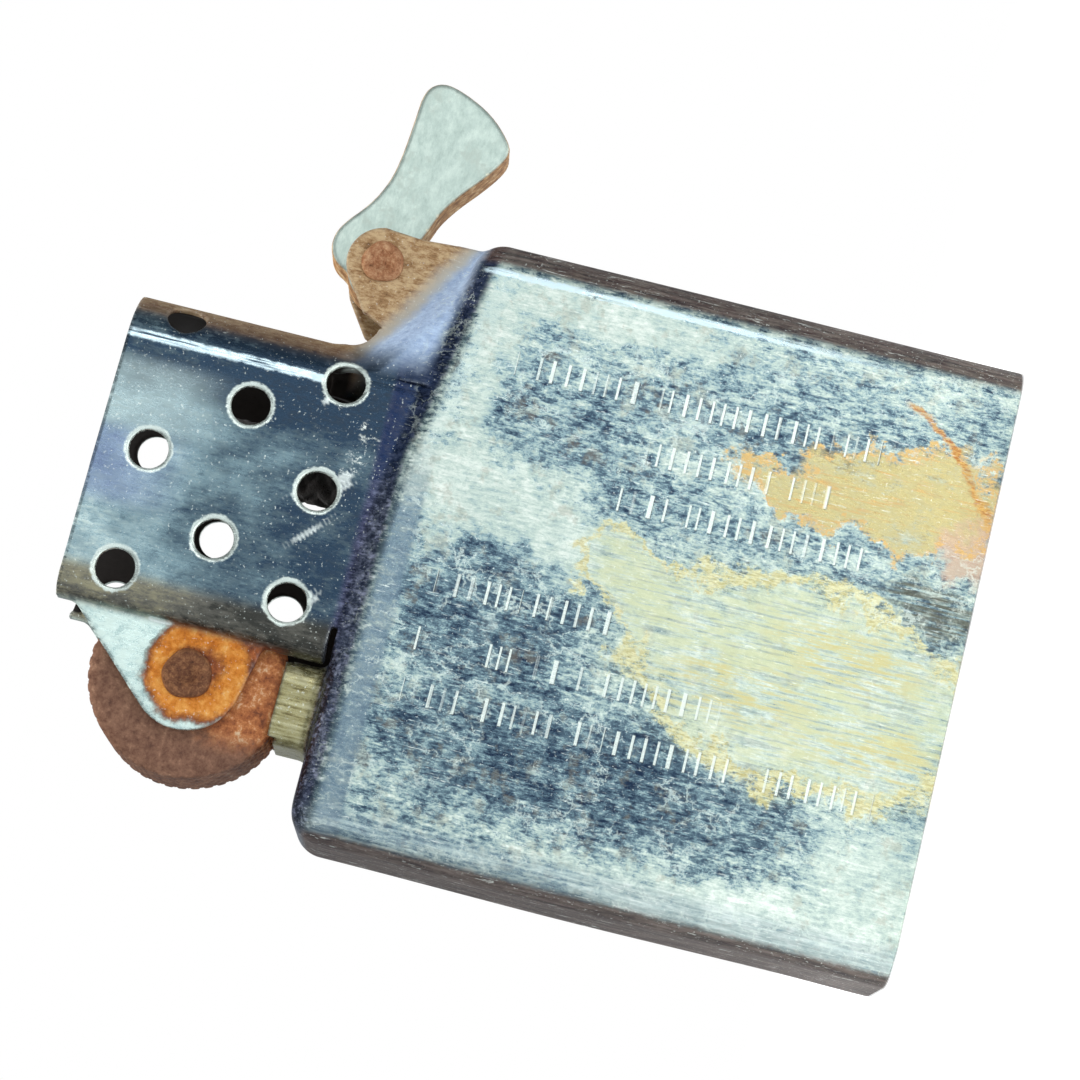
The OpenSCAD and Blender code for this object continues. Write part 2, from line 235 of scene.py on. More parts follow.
def settle(field, points, rounds=3, reach=0.12):
    """Moves points onto the field's surface."""
    step = 0.01
    points = points.copy()
    for _ in range(rounds):
        x, y, z = points.T
        here = field(x, y, z)
        slope = np.stack([
            field(x + step, y, z) - field(x - step, y, z),
            field(x, y + step, z) - field(x, y - step, z),
            field(x, y, z + step) - field(x, y, z - step)], 1) / (2 * step)
        size = np.maximum((slope ** 2).sum(1), 0.25)
        move = np.clip(here / size, -reach, reach)[:, None] * slope
        points -= 0.8 * move
    return points


def grid(low, high, before, after, steps):
    """Sample places along x, y and z, from a little before the box to a little past it."""
    return [np.arange(a - b, c + d, step) for a, b, c, d, step in zip(low, before, high, after, steps)]


def add_mesh(name, points, faces):
    """Smooth mesh object from millimetre points."""
    mesh = bpy.data.meshes.new(name)
    points = np.asarray(points, dtype=np.float32) * MM
    if isinstance(faces, np.ndarray):
        mesh.vertices.add(len(points))
        mesh.vertices.foreach_set("co", points.ravel())
        mesh.loops.add(faces.size)
        mesh.loops.foreach_set("vertex_index", faces.ravel().astype(np.int32))
        mesh.polygons.add(len(faces))
        starts = np.arange(0, faces.size, faces.shape[1], dtype=np.int32)
        mesh.polygons.foreach_set("loop_start", starts)
        mesh.update(calc_edges=True)
    else:
        mesh.from_pydata([tuple(p) for p in points], [], faces)
    mesh.validate()
    mesh.polygons.foreach_set("use_smooth", [True] * len(mesh.polygons))
    mesh.update()
    obj = bpy.data.objects.new(name, mesh)
    bpy.context.collection.objects.link(obj)
    return obj


def place(axis, centre, along, across, up):
    """Points of a lathe or sweep set along an axis: 'y' or 'z'."""
    if axis == "y":
        return np.stack([centre[0] + across, centre[1] + along, centre[2] + up], -1)
    return np.stack([centre[0] + across, centre[1] + up, centre[2] + along], -1)


def lathe(name, profile, axis, centre, steps=96, shape=None):
    """Turns a closed profile of (radius, height) round an axis; shape may change each radius."""
    profile = np.asarray(profile, dtype=float)
    angle = np.linspace(0, 2 * math.pi, steps, endpoint=False)
    r = np.repeat(profile[:, 0][None, :], steps, 0)
    h = np.repeat(profile[:, 1][None, :], steps, 0)
    a = np.repeat(angle[:, None], len(profile), 1)
    if shape is not None:
        r = shape(r, a, h)
    points = place(axis, centre, h, r * np.cos(a), r * np.sin(a)).reshape(-1, 3)
    n = len(profile)
    i, j = np.meshgrid(np.arange(steps), np.arange(n), indexing="ij")
    i2, j2 = (i + 1) % steps, (j + 1) % n
    quads = np.stack([i * n + j, i2 * n + j, i2 * n + j2, i * n + j2], -1).reshape(-1, 4)
    if axis == "z":
        quads = quads[:, ::-1]
    obj = add_mesh(name, points, quads)
    bm = bmesh.new()
    bm.from_mesh(obj.data)
    bmesh.ops.remove_doubles(bm, verts=bm.verts, dist=1e-7)
    bmesh.ops.recalc_face_normals(bm, faces=bm.faces)
    bm.to_mesh(obj.data)
    bm.free()
    return obj


# ---------------------------------------------------------------- the drawn case, windscreen and ears
def case_block(x, y, z):
    top = DECK_Z - CAM_DROP * smooth_step(-2, 18, x)
    sag = 0.05 * np.sin(0.31 * x + 1.0) * np.sin(0.23 * z + 0.6)
    side = round_rect(x, y, CASE_W / 2, CASE_D / 2, CORNER_R)
    side = side + sag * smooth_step(0.8, 6, z) * (np.abs(x) < 30)
    return rolled(side, z - top, DECK_R)


def screen_prism(x, y, z):
    r = np.where(x > SCREEN_MID, SCREEN_R, SCREEN_WHEEL_R)
    lean = 0.05 * np.sin(0.35 * x + 0.4) * smooth_step(36, SCREEN_TOP, z)
    side = round_rect(x - SCREEN_MID, y + lean, (SCREEN_X1 - SCREEN_X0) / 2, SCREEN_Y, r)
    return np.maximum(side, (DECK_Z - 6) - z)


def cam_ear_outline():
    ear = [(CAM_X + CAM_EAR_R * math.cos(t), CAM_Z + CAM_EAR_R * math.sin(t))
           for t in np.radians(np.linspace(10, 128, 12))]
    notch = [(CAM_X - 3.1, CAM_Z + 0.4), (11.55, CAM_Z - 1.2)]
    fillet = [(11.9 + 1.75 * math.cos(t), 37.95 + 1.75 * math.sin(t))
              for t in np.radians(np.linspace(258, 182, 8))]
    base = [(9.9, 38.6), (8.4, 38.6), (8.4, 28.0), (17.55, 28.0), (17.45, 33.0), (17.3, 35.2)]
    return ear + notch + fillet + base


CAM_EAR = cam_ear_outline()


def cam_ears(x, y, z):
    """The two walls from the windscreen's corner down to the cam, as a pair of plates."""
    across = (x - 8.5) * 0.577 + (z - 37.0) * 0.817
    inward = smooth_step(-1.3, 1.0, across)
    half = SCREEN_Y - (SCREEN_Y - CAM_EAR_Y) * inward
    half = half + 0.55 * smooth_step(-1.2, -4.2, across)
    half = half - 0.5 * smooth_step(8.2, 7.0, x)
    steep = 1.1 + 2.0 * inward * (1 - inward)
    plate = np.abs((np.abs(y) - half) / steep + WALL / 2) - WALL / 2
    return soft_max(plate, outline_distance(x, z, CAM_EAR), 0.08)


def wheel_ear_outline():
    corner = (SCREEN_X0 - 0.02, SCREEN_TOP - 1.15)
    dx, dz = corner[0] - WHEEL_X, corner[1] - WHEEL_Z
    start = math.atan2(dz, dx) + math.acos(WHEEL_EAR_R / math.hypot(dx, dz))
    arc = [(WHEEL_X + WHEEL_EAR_R * math.cos(t), WHEEL_Z + WHEEL_EAR_R * math.sin(t))
           for t in np.linspace(start, 1.5 * math.pi - 0.15, 16)]
    low = WHEEL_Z - WHEEL_EAR_R
    return [corner] + arc + [(WHEEL_X + 1.6, low - 0.4), (SCREEN_X0 + 0.7, low - 0.7),
                             (SCREEN_X0 + 0.7, corner[1] + 0.6)]


WHEEL_EAR = wheel_ear_outline()


def wheel_ears(x, y, z):
    """The two cheeks that hold the wheel, slightly raised round the rivet."""
    ring = np.hypot(x - WHEEL_X, z - WHEEL_Z)
    raised = 0.12 * smooth_step(3.0, 1.9, ring)
    plate = np.abs(np.abs(y) - WHEEL_EAR_Y - raised + WALL / 2) - WALL / 2
    return soft_max(plate, outline_distance(x, z, WHEEL_EAR), 0.1)


def hole_places(side):
    """Centres, as (x, z), of the seven holes drilled straight through one wall."""
    if side < 0:
        places = [(0, 2), (-7.0, 2), (-4.05, 1), (3.85, 1), (0, 0), (-6.55, 0), (6.4, 0)]
    else:
        places = [(1.7, 2), (-7.3, 2), (-2.35, 1), (3.35, 1), (0.2, 0), (-5.7, 0), (5.9, 0)]
    low = DECK_Z + HOLE_ROW + (REAR_LIFT if side > 0 else 0)
    return [(SCREEN_MID + across, low + row * HOLE_RISE) for across, row in places]


def air_holes(side, x, y, z):
    """Distance to the holes of one wall: the straight ones and one out of the rounded corner."""
    places = hole_places(side)
    holes = np.inf
    for hx, hz in places:
        holes = np.minimum(holes, np.hypot(x - hx, z - hz))
    straight = np.maximum(holes - HOLE_R, 1.1 - side * y)
    cx, cy = x - (SCREEN_X1 - SCREEN_R), side * y - (SCREEN_Y - SCREEN_R)
    out = cx * math.sin(HOLE_TURN) + cy * math.cos(HOLE_TURN)
    past = cx * math.cos(HOLE_TURN) - cy * math.sin(HOLE_TURN)
    turned = np.maximum(np.hypot(past, z - places[0][1]) - HOLE_R, 1 - out)
    return np.minimum(straight, turned)


def boss(x, y, z):
    """The deck's drawn-up boss round the flint tube, with the wheel's pocket, and the tube's bore."""
    pocket_half = (WHEEL_W / 2) + MOVE_GAP
    side = round_rect(x - WHEEL_X, y, TUBE_R + WALL, pocket_half + WALL, BOSS_R)
    block = np.maximum(side, np.maximum(z - TUBE_HIGH[2] - BOSS_RISE, DECK_Z - WALL - z))
    pocket = np.maximum(np.hypot(x - WHEEL_X, z - WHEEL_Z) - WHEEL_R - BOSS_GAP, np.abs(y) - pocket_half)
    return soft_max(block, -pocket, 0.08), np.hypot(x - WHEEL_X, y) - TUBE_R


def case_field(x, y, z):
    body = soft_min(case_block(x, y, z), screen_prism(x, y, z), 0.55)
    sheet = np.abs(body + WALL / 2) - WALL / 2
    # open the windscreen towards the wheel, and the gap between the cam ears
    wheel_side = np.maximum(x - (SCREEN_X0 + 1.1), np.abs(y) - (WHEEL_EAR_Y - WALL))
    wheel_side = np.maximum(wheel_side, DECK_Z + 0.02 - z)
    sheet = soft_max(sheet, -wheel_side, 0.05)
    beyond = np.maximum(x - SCREEN_X0, DECK_Z + 0.02 - z)
    sheet = np.maximum(sheet, -beyond)
    sheet = soft_min(sheet, cam_ears(x, y, z), 0.3)
    cam_gap = np.maximum(np.maximum(SCREEN_X1 - x, np.abs(y) - (CAM_EAR_Y - WALL)), PLATE_HIGH[2] - z)
    sheet = soft_max(sheet, -cam_gap, 0.05)
    collar, bore = boss(x, y, z)
    sheet = soft_min(sheet, collar, 0.8)
    sheet = soft_min(sheet, wheel_ears(x, y, z), 0.25)
    sheet = np.maximum(sheet, -bore)
    # the cut that frees the windscreen's wheel side
    slot = np.maximum(np.maximum(x - (SCREEN_X0 + SLOT_L), SCREEN_X0 - 0.4 - x),
                      np.abs(z - DECK_Z - SLOT_H / 2 + 0.02) - SLOT_H / 2)
    sheet = soft_max(sheet, -np.maximum(slot, WHEEL_EAR_Y - WALL - 0.4 - np.abs(y)), 0.06)
    for side in (-1, 1):
        sheet = soft_max(sheet, -air_holes(side, x, y, z), 0.22)
    sheet = soft_max(sheet, z - SCREEN_TOP, 0.1)
    return soft_max(sheet, -z, 0.1)


def make_case():
    fine = 0.17
    high = np.arange(PLATE_HIGH[2] - 2.4, SCREEN_TOP + 0.6, fine)
    low = np.arange(0.9, high[0] - 0.01, 0.8)
    foot = np.arange(-0.5, 0.9, 0.14)
    zs = np.concatenate([foot, low, high])
    xs = np.arange(-CASE_W / 2 - 0.6, CASE_W / 2 + 0.6, fine)
    ys = np.arange(-CASE_D / 2 - 0.5, CASE_D / 2 + 0.5, fine * 0.85)
    return add_mesh("case_skin", *surface_net(case_field, xs, ys, zs))


# ---------------------------------------------------------------- the cam
CAM_EDGE = smooth_outline([(-0.6, 2.0), (-0.1, 2.95), (0.9, 3.4), (2.1, 3.15), (3.8, 1.75), (5.4, 1.0),
                           (7.1, 0.7), (9.3, 0.55), (11.4, 0.45), (12.15, -0.5), (11.8, -1.95), (10.9, -3.75),
                           (9.6, -5.05), (8.85, -5.4), (7.9, -5.0), (6.65, -4.1), (5.5, -3.15), (4.25, -2.35),
                           (3.35, -2.05), (1.6, -1.4), (-1.0, -1.75), (-2.0, -0.6), (-1.9, 0.8)], 2)


def cam_field(x, y, z):
    u, v = x - CAM_X, z - CAM_Z
    flat = np.minimum(outline_distance(u, v, CAM_EDGE), np.hypot(u, v) - 2.1)
    half = 1.3
    r = 0.28
    qf = flat + r
    qy = np.abs(y) - half + r
    blade = np.hypot(np.maximum(qf, 0), np.maximum(qy, 0)) + np.minimum(np.maximum(qf, qy), 0) - r
    hub = np.maximum(np.hypot(u, v) - 1.7, np.abs(y) - (CAM_HIGH[1] - 0.02))
    body = soft_min(blade, hub, 0.3)
    return soft_max(body, 0.95 - np.hypot(u, v), 0.1)


def make_cam():
    fine = 0.1
    places = grid(CAM_LOW, CAM_HIGH, (0.4, 0.3, 0.4), (0.5, 0.4, 0.5), (fine, fine, fine))
    return add_mesh("cam_blade", *surface_net(cam_field, *places))


# ---------------------------------------------------------------- turned pieces
def make_wheel():
    """The wheel, with two crossed sets of slanted teeth."""
    half = WHEEL_W / 2
    teeth = 46
    depth = 0.15
    slant = 0.9
    rim = WHEEL_R - depth

    def toothed(r, a, h):
        band = (np.abs(h) < half - 0.25) & (r > rim - 0.02)
        one = np.abs(((a * teeth / (2 * math.pi) + h * slant) % 1) - 0.5) * 2
        two = np.abs(((a * teeth / (2 * math.pi) - h * slant) % 1) - 0.5) * 2
        worn = 0.04 * np.sin(3 * a + 0.7) * np.sin(2 * a)
        tooth = depth * np.minimum(1, 1.5 * np.minimum(one, two) + 0.25)
        return np.where(band, rim + tooth - np.abs(worn), r)

    band = [(rim, h) for h in np.linspace(half - 0.26, -half + 0.26, 28)]
    hub = WHEEL_HIGH[1] - 0.02
    cheek = [(1.12, hub), (1.75, hub), (1.95, hub - 0.15), (1.98, half + 0.02), (2.4, half),
             (rim - 0.6, half), (rim - 0.25, half - 0.05), (rim - 0.02, half - 0.22)]
    profile = cheek + band + [(r, -h) for r, h in reversed(cheek)]
    return lathe("flint_wheel_toothed", profile, "y", (WHEEL_X, 0, WHEEL_Z), 368, toothed)


def make_rivet(name, pin_r, head_r, ear_y, head_t, centre):
    """A rivet with a dished head on both sides, upset slightly out of round."""
    end = ear_y + head_t
    half = [(pin_r, 0), (pin_r, ear_y), (head_r - 0.06, ear_y + 0.01), (head_r, ear_y + 0.1),
            (head_r - 0.05, end - 0.12), (head_r - 0.22, end), (pin_r * 0.66, end - 0.03),
            (pin_r * 0.5, end - 0.16), (pin_r * 0.28, end - 0.26), (0.0, end - 0.29)]
    profile = [(r, -h) for r, h in reversed(half)][:-1] + half

    def upset(r, a, h):
        return r * (1 + 0.03 * np.sin(3 * a + 1.2) + 0.02 * np.sin(5 * a)) * (np.abs(h) > ear_y) + \
            r * (np.abs(h) <= ear_y)

    return lathe(name, profile, "y", centre, 72, upset)


def make_spring():
    """The flint spring's real helix, its coils a little closer in the middle than at the ends."""
    low, high = node_box("flint_spring")
    wire = 0.2
    radius = (high[0] - low[0]) / 2 - wire
    turns = 26
    steps = turns * 20
    sides = 8
    t = np.linspace(0, 1, steps)
    rise = t + 0.018 * np.sin(2 * math.pi * t)
    z = low[2] + wire + (high[2] - low[2] - 2 * wire) * rise
    a = 2 * math.pi * turns * t
    centre = np.stack([WHEEL_X + radius * np.cos(a), radius * np.sin(a), z], 1)
    out = np.stack([np.cos(a), np.sin(a), np.zeros(steps)], 1)
    up = np.array([0.0, 0.0, 1.0])
    rings = [centre + wire * (math.cos(b) * out + math.sin(b) * up)
             for b in np.linspace(0, 2 * math.pi, sides, endpoint=False)]
    points = np.stack(rings, 1).reshape(-1, 3)
    faces = []
    for i in range(steps - 1):
        for j in range(sides):
            k = (j + 1) % sides
            faces.append((i * sides + j, i * sides + k, (i + 1) * sides + k, (i + 1) * sides + j))
    faces.append(tuple(range(sides))[::-1])
    faces.append(tuple((steps - 1) * sides + j for j in range(sides)))
    return add_mesh("flint_spring_coil", points, faces)


def make_screw():
    """The spring screw: a slotted cheese head below a threaded shank."""
    low, high = node_box("spring_screw")
    head_r = (high[0] - low[0]) / 2
    head_top = low[2] + 1.2
    shank_r = 1.35
    pitch = 0.7
    depth = 0.16
    slot_half, slot_deep = 0.35, 0.6
    length = high[2] - head_top

    def shape(x, y, z):
        around = np.hypot(x - WHEEL_X, y)
        turn = np.arctan2(y, x - WHEEL_X) / (2 * math.pi)
        wave = np.abs((((z - head_top) / pitch - turn) % 1) - 0.5) * 2
        cut = depth * wave * smooth_step(0.2, 0.7, z - head_top)
        taper = 0.25 * smooth_step(length - 0.6, length, z - head_top)
        shank = np.maximum(around - shank_r + cut + taper, np.maximum(z - high[2] + 0.01, head_top - 0.3 - z))
        grip = 0.05 * (1 - np.abs(np.sin(turn * math.pi * 36)))
        head = rolled(around - head_r + grip, np.abs(z - low[2] - 0.6) - 0.6, 0.12)
        slot = np.maximum(np.abs(y) - slot_half, z - low[2] - slot_deep)
        return soft_max(soft_min(shank, head, 0.1), -slot, 0.05)

    fine = 0.08
    places = grid(low, high, (0.3, 0.3, 0.3), (0.3, 0.3, 0.3), (fine, fine, fine))
    return add_mesh("spring_screw_threaded", *surface_net(shape, *places))


# ---------------------------------------------------------------- soft pieces
def make_wick():
    """A plaited cotton wick, frayed where it burns."""
    low, high = node_box("wick")
    centre = ((low[0] + high[0]) / 2, (low[1] + high[1]) / 2, 0)
    radius = (high[0] - low[0]) / 2 - 0.06
    length = high[2] - low[2]
    strands = 7
    pitch = 5.0
    crown = 1.1

    def plait(r, a, h):
        along = (h - low[2]) / pitch
        one = np.abs(np.sin(math.pi * (strands * a / (2 * math.pi) + along * strands / 2)))
        two = np.abs(np.sin(math.pi * (strands * a / (2 * math.pi) - along * strands / 2)))
        over = np.sin(math.pi * (along * strands + 0.25))
        swell = 0.86 + 0.14 * np.where(over > 0, one, two) ** 0.7
        fray = smooth_step(length - 2.2, length, h - low[2])
        ragged = 1 + 0.06 * fray * (np.sin(9 * a + 3) + np.sin(17 * a + 2 * h))
        return r * swell * ragged

    body = [(radius, low[2] + length * k / 220) for k in range(207)]
    start = body[-1][1]
    top = [(radius * math.cos(t) ** 0.7, start + (high[2] - start - 0.05) * math.sin(t))
           for t in np.linspace(0.2, math.pi / 2 - 0.02, 8)]
    profile = [(0, low[2] + 0.02), (radius * 0.7, low[2] + 0.01)] + body + top + [(0, high[2] - crown * 0.05)]
    return lathe("wick_braid", profile, "z", centre, 84, plait)


def lumps(x, y, z, seed):
    """Gentle unevenness of stuffed cotton, about -1 to 1."""
    return (np.sin(0.9 * x + seed) * np.cos(1.3 * y + 0.6 * seed) + 0.6 * np.sin(1.9 * x + 0.8 * z + 2 * seed)
            + 0.5 * np.sin(2.3 * y + 1.7 * z + seed)) / 2.1


def make_pad(name, node, seed, lump, crown, holes):
    """A soft slab that swells between its rounded edges; holes are (x, radius) and go through."""
    low, high = node_box(node)
    mid = [(a + b) / 2 for a, b in zip(low, high)]
    half = [(b - a) / 2 for a, b in zip(low, high)]
    edge = min(half[2] * 0.75, 1.6)
    plan_r = min(CORNER_R - WALL, half[1] * 0.5)

    def shape(x, y, z):
        u, v, w = x - mid[0], y - mid[1], z - mid[2]
        swell = (1 - (u / half[0]) ** 2).clip(0, 1) ** 0.5 * (1 - (v / half[1]) ** 2).clip(0, 1) ** 0.5
        side = round_rect(u, v, half[0] - 0.04 - lump, half[1] - 0.04 - lump, plan_r)
        top = np.abs(w) - (half[2] - 0.03 - lump - crown * (1 - swell))
        body = rolled(side, top, edge) - lump * lumps(x, y, z, seed)
        for hx, hr in holes:
            body = soft_max(body, hr + 0.05 - np.hypot(x - hx, y), 0.25)
        return body

    fine = 0.32
    places = grid(low, high, (0.6, 0.6, 0.6), (0.7, 0.7, 0.7), (fine, fine, fine * 0.7))
    return add_mesh(name, *surface_net(shape, *places))


# ---------------------------------------------------------------- material building
def colour(red, green, blue):
    """A screen colour given as 0 to 255, as the linear values that shaders take."""
    def linear(v):
        v /= 255
        return v / 12.92 if v <= 0.04045 else ((v + 0.055) / 1.055) ** 2.4
    return (linear(red), linear(green), linear(blue), 1.0)


class Paint:
    """One material's node tree, with short calls that return sockets. Coordinates are in millimetres."""

    def __init__(self, name, seed=0.0):
        self.material = bpy.data.materials.new(name)
        self.material.use_nodes = True
        self.tree = self.material.node_tree
        self.shader = self.tree.nodes["Principled BSDF"]
        where = self.tree.nodes.new("ShaderNodeTexCoord").outputs["Object"]
        scaled = self.vector("MULTIPLY", where, (1 / MM, 1 / MM, 1 / MM))
        self.mm = self.vector("ADD", scaled, (seed, seed * 0.7, -seed * 0.4)) if seed else scaled
        self.x, self.y, self.z = self.split(self.mm)

    def new(self, kind, **settings):
        node = self.tree.nodes.new(kind)
        for key, value in settings.items():
            setattr(node, key, value)
        return node

    def feed(self, socket, value):
        if isinstance(value, bpy.types.NodeSocket):
            self.tree.links.new(value, socket)
        elif value is not None:
            socket.default_value = value

    def split(self, vector):
        node = self.new("ShaderNodeSeparateXYZ")
        self.feed(node.inputs[0], vector)
        return node.outputs

    def vector(self, operation, a, b):
        node = self.new("ShaderNodeVectorMath", operation=operation)
        self.feed(node.inputs[0], a)
        self.feed(node.inputs[1], b)
        return node.outputs["Value" if operation in ("LENGTH", "DOT_PRODUCT") else "Vector"]

    def math(self, operation, a, b=None):
        node = self.new("ShaderNodeMath", operation=operation)
        self.feed(node.inputs[0], a)
        self.feed(node.inputs[1], b)
        return node.outputs[0]

    def plus(self, a, b):
        return self.math("ADD", a, b)

    def minus(self, a, b):
        return self.math("SUBTRACT", a, b)

    def times(self, a, b):
        return self.math("MULTIPLY", a, b)

    def weigh(self, *parts):
        """Sum of sockets, each times its weight."""
        total = None
        for socket, weight in parts:
            part = self.times(socket, weight)
            total = part if total is None else self.plus(total, part)
        return total

    def noise(self, scale, detail=4.0, rough=0.55, stretch=(1, 1, 1), shift=(0, 0, 0), warp=0.0):
        """Noise with that many features a millimetre; stretch lengthens it along each axis."""
        where = self.vector("MULTIPLY_ADD", self.mm, tuple(1 / s for s in stretch))
        where.node.inputs[2].default_value = shift
        node = self.new("ShaderNodeTexNoise")
        self.feed(node.inputs["Vector"], where)
        node.inputs["Scale"].default_value = scale
        node.inputs["Detail"].default_value = detail
        node.inputs["Roughness"].default_value = rough
        node.inputs["Distortion"].default_value = warp
        return node.outputs["Fac"]

    def cells(self, scale, stretch=(1, 1, 1), feature="F1", at=None):
        """Distances in a net of cells, so many to a millimetre, each stretched along each axis."""
        where = self.vector("MULTIPLY_ADD", self.mm if at is None else at, tuple(1 / s for s in stretch))
        node = self.new("ShaderNodeTexVoronoi", feature=feature)
        self.feed(node.inputs["Vector"], where)
        node.inputs["Scale"].default_value = scale
        return node.outputs["Distance"]

    def between(self, value, low, high, smooth=True):
        """0 below low and 1 above high; low may be the larger."""
        node = self.new("ShaderNodeMapRange", interpolation_type="SMOOTHSTEP" if smooth else "LINEAR")
        self.feed(node.inputs["Value"], value)
        if low < high:
            limits = (low, high, 0, 1)
        else:
            limits = (high, low, 1, 0)
        for key, v in zip(("From Min", "From Max", "To Min", "To Max"), limits):
            node.inputs[key].default_value = v
        return node.outputs["Result"]

    def ramp(self, value, *stops):
        """Colour by value; each stop is (position, screen colour)."""
        node = self.new("ShaderNodeValToRGB")
        self.feed(node.inputs[0], value)
        while len(node.color_ramp.elements) < len(stops):
            node.color_ramp.elements.new(0.5)
        for element, (position, shade) in zip(node.color_ramp.elements, stops):
            element.position = position
            element.color = colour(*shade)
        return node.outputs["Color"]

    def mix(self, mask, a, b):
        """a where mask is 0 and b where it is 1; each is a socket or a screen colour."""
        node = self.new("ShaderNodeMix", data_type="RGBA")
        self.feed(node.inputs["Factor"], mask)
        self.feed(node.inputs[6], colour(*a) if isinstance(a, tuple) else a)
        self.feed(node.inputs[7], colour(*b) if isinstance(b, tuple) else b)
        return node.outputs[2]

    def tint(self, mask, amount, base, shade):
        """base, with that share of shade laid over it where mask is."""
        return self.mix(self.times(mask, amount), base, shade)

    def blend(self, mask, a, b):
        node = self.new("ShaderNodeMix", data_type="FLOAT")
        self.feed(node.inputs["Factor"], mask)
        self.feed(node.inputs[2], a)
        self.feed(node.inputs[3], b)
        return node.outputs[0]

    def both(self, *masks):
        out = masks[0]
        for mask in masks[1:]:
            out = self.math("MULTIPLY", out, mask)
        return out

    def either(self, *masks):
        out = masks[0]
        for mask in masks[1:]:
            out = self.math("MAXIMUM", out, mask)
        return out

    def ring(self, x, z, half_x, half_z, turn=0.0, at=None):
        """Distance from a place on the case's faces, 1 on a slanted oval round it."""
        node = self.new("ShaderNodeMapping", vector_type="TEXTURE")
        self.feed(node.inputs["Vector"], self.mm if at is None else at)
        node.inputs["Location"].default_value = (x, 0, z)
        node.inputs["Rotation"].default_value = (0, math.radians(turn), 0)
        node.inputs["Scale"].default_value = (half_x, 1e4, half_z)
        return self.vector("LENGTH", node.outputs[0], None)

    def bump(self, height, distance, strength=1.0, under=None):
        node = self.new("ShaderNodeBump")
        self.feed(node.inputs["Height"], height)
        node.inputs["Distance"].default_value = distance * MM
        node.inputs["Strength"].default_value = strength
        self.feed(node.inputs["Normal"], under)
        return node.outputs["Normal"]

    def set(self, **inputs):
        names = {"base": "Base Color", "metal": "Metallic", "rough": "Roughness", "normal": "Normal",
                 "coat": "Coat Weight", "coat_rough": "Coat Roughness", "sheen": "Sheen Weight",
                 "sheen_rough": "Sheen Roughness", "specular": "Specular IOR Level"}
        for key, value in inputs.items():
            self.feed(self.shader.inputs[names[key]], value)
        return self.material

    def wear(self, width=0.15):
        """Pointed edges of the mesh, from 0 to 1."""
        point = self.new("ShaderNodeNewGeometry").outputs["Pointiness"]
        return self.between(point, 0.52, 0.52 + width)


def use(obj, material):
    obj.data.materials.clear()
    obj.data.materials.append(material)


# ---------------------------------------------------------------- the case's tarnished sheet
NAVY = (30, 46, 68)
SLATE = (78, 100, 114)
STEEL = (130, 155, 161)
CHALK = (192, 209, 199)
WHITE = (246, 252, 244)
CREAM = (204, 208, 160)
STRAW = (206, 194, 132)
AMBER = (208, 164, 92)
RUST = (158, 92, 38)
TAN = (183, 152, 112)
PINK = (198, 170, 146)
SOOT = (24, 20, 18)


class Sheet(Paint):
    """Paint for the case, with the masks and noises that its zones share."""

    def __init__(self, name):
        super().__init__(name)
        wander = self.new("ShaderNodeTexNoise")
        self.feed(wander.inputs["Vector"], self.mm)
        wander.inputs["Scale"].default_value = 0.5
        wander.inputs["Detail"].default_value = 7
        wander.inputs["Roughness"].default_value = 0.68
        self.push = self.vector("SUBTRACT", wander.outputs["Color"], (0.5, 0.5, 0.5))
        self.ragged = self.shoved((6.0, 0.0, 6.0))
        self.front = self.between(self.y, 0.5, -0.5)
        self.face = self.between(self.z, 33.6, 32.8)
        self.on_face = self.both(self.front, self.face)
        self.speck = self.noise(1.9, 6, 0.78, stretch=(0.8, 1, 1.35), warp=0.3)
        self.cloud = self.noise(0.35, 5, 0.6, stretch=(1, 1, 1.3), shift=(3, 0, 1))
        self.fine = self.noise(4.5, 4, 0.75, stretch=(0.6, 1, 2.6), shift=(0, 4, 9))
        self.brush = self.noise(2.6, 3, 0.6, stretch=(0.5, 1, 9), shift=(4, 4, 1))
        self.web = self.cells(0.62, stretch=(0.8, 1, 1.4), feature="DISTANCE_TO_EDGE",
                              at=self.shoved((4, 0, 4)))

    def shoved(self, amounts):
        moved = self.vector("MULTIPLY_ADD", self.push, amounts)
        self.feed(moved.node.inputs[2], self.mm)
        return moved

    def patch(self, x, z, half_x, half_z, turn=0.0, soft=0.35):
        """1 inside a slanted oval with ragged edges, fading to 0 past them."""
        return self.between(self.ring(x, z, half_x, half_z, turn, self.ragged), 1 + soft, 1 - soft)

    def patches(self, *ovals):
        return self.either(*(self.patch(*oval) for oval in ovals))

    def band(self, value, low, high, soft):
        """1 between low and high, fading over soft outside them."""
        return self.both(self.between(value, low - soft, low), self.between(value, high + soft, high))

    def slope(self, value, per_mm, start):
        """value + per_mm * (x - start), for lines that slant across the face from start."""
        return self.plus(value, self.times(self.minus(self.x, start), per_mm))


